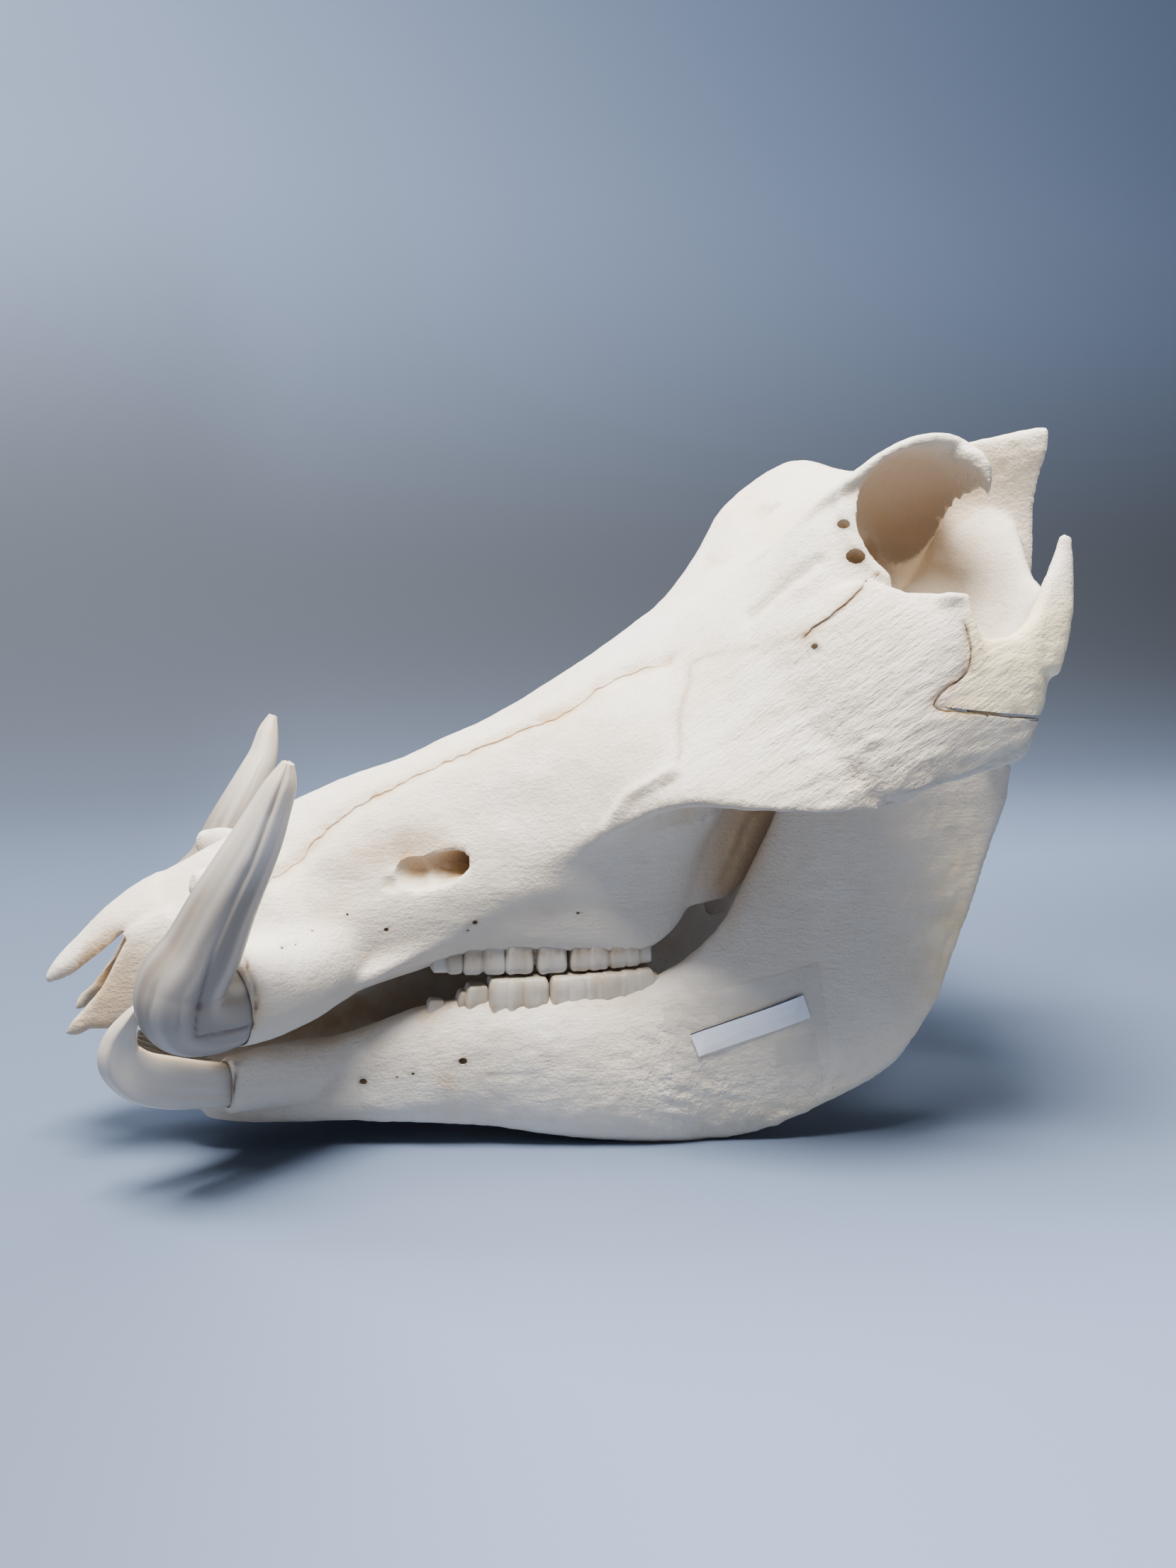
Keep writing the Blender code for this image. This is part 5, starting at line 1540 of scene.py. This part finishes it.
@dataclass
class Studio:
    """The floor with its curved backdrop, the soft lights and the camera of the photograph."""

    width: float = 5.0
    front: float = -2.0
    back: float = 1.5
    bend: float = 0.8
    height: float = 3.0

    def floor(self) -> bpy.types.Object:
        """A floor that curves up into the backdrop."""
        profile = [(self.front, 0.0), (self.back - self.bend, 0.0)]
        for angle in np.linspace(0, math.pi / 2, 17)[1:]:
            profile.append((self.back - self.bend + self.bend * math.sin(angle),
                            self.bend * (1 - math.cos(angle))))
        profile.append((self.back, self.height))
        points = [(x * self.width / 2, y, z) for y, z in profile for x in (-1, 1)]
        faces = [(2 * i, 2 * i + 1, 2 * i + 3, 2 * i + 2) for i in range(len(profile) - 1)]
        mesh = bpy.data.meshes.new("studio_floor")
        mesh.from_pydata(points, [], faces)
        floor = bpy.data.objects.new("studio_floor", mesh)
        bpy.context.scene.collection.objects.link(floor)
        floor.data.materials.append(BackdropFinish().make())
        floor.data.polygons.foreach_set("use_smooth", [True] * len(floor.data.polygons))
        return floor

    def light(self, name: str, place: tuple[float, ...], aim: tuple[float, ...], size: float, watts: float,
              colour: tuple[float, ...] = (1, 1, 1)) -> None:
        """One soft square light aimed at a point."""
        data = bpy.data.lights.new(name, "AREA")
        data.size = size
        data.energy = watts
        data.color = colour
        lamp = bpy.data.objects.new(name, data)
        lamp.location = place
        lamp.rotation_euler = (Vector(aim) - Vector(place)).to_track_quat("-Z", "Y").to_euler()
        bpy.context.scene.collection.objects.link(lamp)

    def lights(self) -> None:
        """A broad light from above, a weaker one from the front and a little sky."""
        self.light("key", (-0.16, -0.27, 1.15), (0, 0, 0.1), 0.42, 46, (1.0, 0.97, 0.925))
        self.light("above", (0.12, 0.12, 1.15), (0, 0, 0.1), 0.8, 11, (1.0, 0.98, 0.95))
        self.light("front", (-0.8, -1.2, 0.5), (0, 0, 0.1), 0.9, 0.6, (1.0, 0.93, 0.85))
        self.light("wall", (-0.9, 0.4, 1.5), (-0.3, 1.5, 0.8), 0.7, 33, (0.95, 0.97, 1.0))
        world = bpy.data.worlds.new("soft_sky")
        world.use_nodes = True
        world.node_tree.nodes["Background"].inputs["Color"].default_value = (0.92, 0.93, 0.94, 1)
        world.node_tree.nodes["Background"].inputs["Strength"].default_value = 0.075
        bpy.context.scene.world = world

    def camera(self) -> None:
        """The photograph's camera."""
        data = bpy.data.cameras.new("photo_camera")
        data.sensor_width = SENSOR
        data.lens = SENSOR * FOCAL_PIXELS / PHOTO_HEIGHT
        data.clip_start = 0.01
        camera = bpy.data.objects.new("photo_camera", data)
        camera.location = CAMERA_PLACE
        camera.rotation_euler = [math.radians(angle) for angle in CAMERA_TURN]
        bpy.context.scene.collection.objects.link(camera)
        bpy.context.scene.camera = camera


TUSK_GROOVE = [(-114.6, -75.3, 131), (-116.5, -76.2, 127.2), (-120.3, -76.8, 117.6), (-124.8, -76.6, 105.8),
               (-130.4, -76.1, 93.9), (-135.6, -75.3, 81.9), (-138.4, -73.8, 73), (-140.7, -71.7, 64.7),
               (-141.5, -71.5, 59.7), (-141.9, -69.9, 55.3), (-137.8, -67.8, 55), (-133.5, -64.1, 54.3),
               (-130.3, -61.5, 54.1), (-127.1, -58.8, 53.8)]
TUSK_SECOND = [(-126.8, -76.7, 103.9), (-130.9, -76.5, 95.1), (-135, -76.3, 87.2), (-138.1, -76.2, 82.3),
               (-141, -75.6, 74.9), (-144.9, -75.1, 68.9), (-146.6, -72.7, 59.5), (-148.6, -64.4, 50.7)]
TUSK_FRONT = [(-143.1, -73.7, 90.1), (-146.4, -73.3, 84.1), (-148.9, -73.2, 79.4), (-151.5, -73, 74.5),
              (-153.8, -71.6, 66.7), (-155, -68.8, 60.4)]
TUSK_SPOT = (-140.5, -71.6, 64.7)
STRIP_CORNERS = [(11.2, -52.1, 38.8), (47.2, -59.3, 51.3), (50.0, -59.9, 43.4), (13.9, -53.1, 31.2)]
TAPE_CORNERS = [(2.7, -46, 48.5), (52.6, -58.8, 61.4), (57.1, -60, 28.7), (5.8, -52.3, 22.1)]
FLAP_CORNERS = [(37.5, -58, 35.7), (51.4, -60.1, 38.1), (54.7, -59, 22.6), (40.6, -57.1, 20.3)]
ARCH_SLIT = [(73.6, 146.9), (79, 146.4), (92, 144.9), (107, 143.5), (124, 142.5), (128, 142.2), (128, 141.2),
             (124, 141.4), (107, 142.3), (92, 143.7), (79, 145.6)]
SKULL_PORES = [(43.4, -71.2, 163.9, 2.4), (58.8, -55.6, 201.1, 4.2), (60.5, -61.5, 191.1, 6.2),
               (-84, -35.3, 74.8, 1.6), (-56.3, -38.6, 76.4, 1.8), (-58.5, -37.7, 73.8, 0.8),
               (-116.5, -46.8, 74.1, 0.9), (-120.5, -50.3, 70.8, 0.9), (-112.2, -44.8, 74.8, 0.8),
               (-106.7, -39.3, 77.6, 0.9), (-23.1, -40.2, 77.9, 1.2), (-95.8, -33.3, 80, 0.8)]
JAW_PORES = [(-91.9, -29, 23.2, 2.7), (-60.5, -37.2, 30.5, 2.9), (-76.1, -33.1, 26.2, 1.2),
             (-81.2, -31.8, 24.9, 0.8)]


def medial(obj: bpy.types.Object) -> np.ndarray:
    """1 where a surface faces the middle of the skull, 0 where it faces outwards."""
    facing = -normals_of(obj)[:, 1] * np.sign(coords(obj)[:, 1])
    return np.clip(1.6 * facing, 0, 1)


def near_pores(points: np.ndarray, pores: Line) -> np.ndarray:
    """1 inside the small holes on either side, fading to 0 at their rims."""
    total = np.zeros(len(points))
    for x, y, z, width in pores:
        total = np.maximum(total, near(points, (x, y, z), (0.55 * width, 0.9 * width, 0.55 * width)))
    return total


def stain_and_shade_cranium(skull: bpy.types.Object) -> None:
    """Keeps where the upper skull is stained, warm, striated, scarred or in a hollow, and where shade is
    painted into its colour.
    """
    p = coords(skull)
    depth, _ = hollows(skull, 6)
    seams = np.full(len(p), 1e9)
    for path in (NASAL_SEAM, LACRIMAL_CRACK, ARCH_SEAM, SOCKET_CRACK):
        seams = np.minimum(seams, distance_to(p, path))
    faint = np.minimum(distance_to(p, CHEEK_SEAM), distance_to(p, LACRIMAL_SEAM))
    fold = p * (1, 0, 1) - np.abs(p) * (0, 1, 0)
    orbit = np.hypot(fold[:, 0] - 84.5, fold[:, 2] - 203.6)
    inside = np.clip((24 - orbit) / 5, 0, 1) * (fold[:, 1] > -72) * (fold[:, 1] < -24)
    warmth = 0.55 * np.exp(-(seams / 2.6) ** 2) + 0.35 * np.exp(-(faint / 2.0) ** 2)
    wall = np.clip((fold[:, 0] - 91 - 0.92 * (fold[:, 2] - 180)) / 3, 0, 1) * (fold[:, 1] > -60)
    inside *= 1 - (fold[:, 2] > 212) * (normals_of(skull)[:, 2] > 0)
    # Painted brown shade inside the eye sockets, lighter on the lit wall behind them.
    earth = 0.5 * inside * (fold[:, 0] < 108) * (1 - 0.62 * wall)
    # Painted shade: tan in the shaded hollows at the infraorbital hole and beside the tusk socket.
    warmth += 0.65 * near(p, (-66, -30, 94), (13, 12, 8)) + 0.6 * near(p, (-86, -34, 102), (15, 12, 8))
    edge = 82 - 0.9 * np.clip(155 - fold[:, 2], 0, 9)
    butter = (np.clip((fold[:, 0] - edge) / 2, 0, 1) * np.clip((fold[:, 2] - 143) / 1.5, 0, 1)
              * np.clip((188 - fold[:, 2]) / 14, 0, 1) * np.clip((-72 - fold[:, 1]) / 9, 0, 1))
    butter += 0.5 * near(p, (118, -46, 226), (12, 16, 10)) + 0.35 * near(p, (92, -40, 190), (20, 14, 22))
    under = np.clip(-1.5 * normals_of(skull)[:, 2], 0, 1)
    # Painted shade: tan on the shaded outer face of the front prong, on the snout's side and under the nasal
    # tips.
    warmth += (1.2 * near(p, (-172, -16, 60), (13, 8, 16)) * (np.abs(p[:, 1]) > 9)
               + 0.25 * near(p, (-104, -34, 88), (18, 12, 10)))
    warmth += 1.2 * under * near(p, (-176, 0, 66), (16, 16, 12))
    # The first term is painted shade in the hollow under the crest's end.
    warmth += 0.4 * near(p, (8, -54, 110), (14, 12, 6)) + 0.35 * near(p, (-40, -24, 138), (50, 8, 16))
    inward = medial(skull)
    crack = distance_to(p, REAR_CRACK)
    # Painted brown shade on the plate behind the last teeth, the front prong's outer face and the wall behind
    # the eye socket.
    earth += (0.85 * near(p, (34, -40, 98), (20, 7, 26)) + 0.55 * near(p, (-168, -18, 50), (20, 9, 22))
              + 0.3 * near(p, (106, -38, 196), (16, 14, 22)))
    # Tan in a band round the rear crack; the second term is painted shade on the wall behind the eye socket.
    warmth += 1.1 * np.exp(-(crack / 5) ** 2) + 0.3 * near(p, (106, -38, 196), (16, 14, 22))
    # Painted brown shade on that plate, on inward faces in the mouth and under the cheekbones, and under the
    # palate.
    earth += 0.3 * near(p, (36, -40, 98), (16, 20, 22)) + 0.3 * inward * near(p, (-50, -20, 66), (90, 30, 22))
    earth += (0.5 * inward * near(p, (40, -60, 130), (50, 40, 40))
              + 0.35 * under * near(p, (-50, -20, 62), (60, 26, 14)))
    # Painted shade: surfaces facing down or sideways, and the cheekbone's lower edge, are darkened and warmed.
    lower = np.clip((0.5 - normals_of(skull)[:, 2]) / 0.45, 0, 1)
    put_values(skull, "grime", 0.8 * lower * (1 - 0.8 * np.clip(butter, 0, 1))
               + 0.5 * near(p, (30, -84, 122), (44, 20, 8)))
    put_values(skull, "earth", earth)
    put_values(skull, "butter", butter)
    # Painted shade: dark inside the infraorbital canal, inside the pores and on the inward face of the plate
    # behind the teeth; the seams and the rear crack are the bone's own stains.
    painted_canal_shade = near(p, (-60, -24, 96), (14, 8, 8)) * (np.abs(p[:, 1]) < 31.5)
    stain = (np.exp(-(crack / 1.1) ** 2) + 0.9 * np.exp(-(seams / 0.55) ** 2)
             + 0.35 * np.exp(-(faint / 0.6) ** 2))
    stain += (0.8 * painted_canal_shade + 0.9 * near_pores(p, SKULL_PORES)
              + 0.35 * inward * near(p, (30, -40, 104), (16, 20, 26)))
    put_values(skull, "warmth", warmth + painted_canal_shade)
    put_values(skull, "stain", stain)
    put_values(skull, "hollow", depth / 1.2)
    put_values(skull, "cheek", near(p, (52, -84, 146), (56, 60, 40)))
    put_values(skull, "scar", near(p, (4, -58, 112), (12, 18, 8)) + near(p, (114, -60, 226), (22, 24, 9))
               + near(p, (60, -94, 126), (40, 20, 12)))


def stain_and_shade_jaw(jaw: bpy.types.Object) -> None:
    """Keeps where the lower jaw is stained, warm, striated, scarred or in a hollow, and where shade is painted
    into its colour.
    """
    p = coords(jaw)
    depth, _ = hollows(jaw, 6)
    streak = distance_to(p, JAW_STREAK)
    warmth = 0.7 * np.exp(-(streak / 3.2) ** 2) * (0.6 + 0.5 * waves(p, 5, 91))
    warmth += 0.55 * near(p, (-64, -30, 46), (14, 8, 5)) + 0.4 * near(p, (-15, -42, 48), (40, 8, 4))
    # The first term tans the jaw's rear rim; the second is painted shade on the floor of the mouth.
    warmth += 0.45 * near(p, (98, -62, 60), (12, 14, 44)) + 0.5 * near(p, (-110, -10, 34), (44, 20, 8))
    warmth += 0.35 * near(p, (-134, -20, 14), (12, 14, 8))
    ahead = np.clip(-1.5 * normals_of(jaw)[:, 0], 0, 1)
    # Painted shade: brown and tan on inward faces seen through the mouth, and on the coronoid's front and inner
    # faces.
    earth = 0.25 * medial(jaw) * near(p, (-20, -26, 50), (90, 40, 40))
    warmth += 0.5 * medial(jaw) * near(p, (-20, -26, 50), (90, 40, 40))
    earth += 0.8 * np.maximum(ahead, medial(jaw)) * near(p, (34, -48, 96), (22, 16, 30))
    # Painted shade: down-facing surfaces are darkened, more so higher up under the cheekbone.
    lower = np.clip((0.5 - normals_of(jaw)[:, 2]) / 0.45, 0, 1)
    put_values(jaw, "grime", lower * (0.15 + 0.65 * np.clip(p[:, 2] / 60, 0, 1)))
    put_values(jaw, "earth", earth)
    put_values(jaw, "butter", 0.8 * near(p, (100, -62, 62), (9, 14, 40))
               + 0.5 * near(p, (60, -60, 12), (44, 16, 6)))
    put_values(jaw, "warmth", warmth)
    # The crack is the bone's own stain; the dark inside the pores is painted shade.
    stain = 0.95 * np.exp(-(distance_to(p, LOW_CRACK) / 0.7) ** 2) + 0.9 * near_pores(p, JAW_PORES)
    put_values(jaw, "stain", stain)
    put_values(jaw, "hollow", depth / 1.2)
    put_values(jaw, "cheek", np.zeros(len(p)))
    put_values(jaw, "scar", near(p, (10, -48, 20), (22, 30, 24)) + near(p, (60, -60, 16), (40, 20, 14)))


def stain_teeth(teeth: bpy.types.Object, gum: float) -> None:
    """Keeps the brown between the columns and at the gum line."""
    p = coords(teeth)
    depth, _ = hollows(teeth, 4)
    put_values(teeth, "hollow", depth / 0.26 + 0.7 * np.exp(-((p[:, 2] - gum) / 1.2) ** 2))
    put_values(teeth, "stain", (depth - 0.22) / 0.3)


def dress(obj: bpy.types.Object, material: bpy.types.Material, sharpest: float = 42) -> None:
    """Gives a piece its material, shading, place in the row frame and body.

    Args:
        obj: the finished piece, in the skull's own frame.
        material: its only material.
        sharpest: the angle in degrees past which an edge is shaded sharp.
    """
    obj.data.materials.clear()
    obj.data.materials.append(material)
    smooth_shaded(obj, sharpest)
    into_row_frame(obj)
    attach(obj, "root")
    log.info("%s: %d faces", obj.name, len(obj.data.polygons))


def main() -> None:
    """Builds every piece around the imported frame, then the studio."""
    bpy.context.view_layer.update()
    grain, age = grain_group(), age_group()
    bone = BoneFinish("bleached_bone").make(grain, age)
    enamel = EnamelFinish("worn_enamel").make(grain, age)
    ivory = IvoryFinish("tusk_ivory").make(grain, age)
    carver = Carver(seam_tree(), scatter_tree(), bone)

    skull = Cranium().build()
    tusks = [UpperTusk(Side.LEFT), UpperTusk(Side.RIGHT, slim=0.86)]
    for tusk in tusks:
        boolean(skull, tusk.bed(), "DIFFERENCE")
    carver.seam(skull, NASAL_SEAM, 1.0)
    carver.seam(skull, LACRIMAL_CRACK, 0.8)
    carver.seam(skull, ARCH_SEAM, 1.1, wander=0.3)
    for slit in both_sides(side_prism("slit", ARCH_SLIT, 80, 125)):
        boolean(skull, slit, "DIFFERENCE")
    carver.pores(skull, SKULL_PORES)
    stain_and_shade_cranium(skull)
    dress(skull, bone)
    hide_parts("cranium", "jugal_left", "jugal_right")

    jaw = LowerJaw().build()
    low_tusks = [LowerTusk(Side.LEFT), LowerTusk(Side.RIGHT)]
    for tusk in low_tusks:
        boolean(jaw, tusk.bed(), "DIFFERENCE")
    carver.pores(jaw, JAW_PORES)
    stain_and_shade_jaw(jaw)
    strip = Sheet("paper_strip", STRIP_CORNERS, 0.22, 0.08, 36, 8).build(jaw)
    tape = Sheet("tape_patch", TAPE_CORNERS, 0.42, 0.06, 50, 30).build(jaw)
    flap = Sheet("tape_flap", FLAP_CORNERS, 0.60, 0.06, 14, 16).build(jaw)
    dress(jaw, bone)
    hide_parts("mandible")
    dress(strip, PaperFinish().make())
    clear = TapeFinish().make()
    dress(tape, clear)
    dress(flap, clear)

    for row, gum in ((Row.UPPER, 64.5), (Row.LOWER, 47.0)):
        teeth = CheekTeeth(row, carver.forms, enamel).build()
        stain_teeth(teeth, gum)
        dress(teeth, enamel, 60)
    front = Incisors().build()
    stain_teeth(front, 24.0)
    dress(front, enamel, 60)
    for tusk in tusks:
        made = tusk.build()
        dress(made, ivory, 60)
        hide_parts("upper_tusk_" + tusk.side.name.lower())
    for tusk in low_tusks:
        made = tusk.build()
        dress(made, ivory, 60)
        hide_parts("lower_tusk_" + tusk.side.name.lower())

    studio = Studio()
    studio.floor()
    studio.lights()
    studio.camera()
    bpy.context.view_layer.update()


if __name__ == "__main__":
    main()
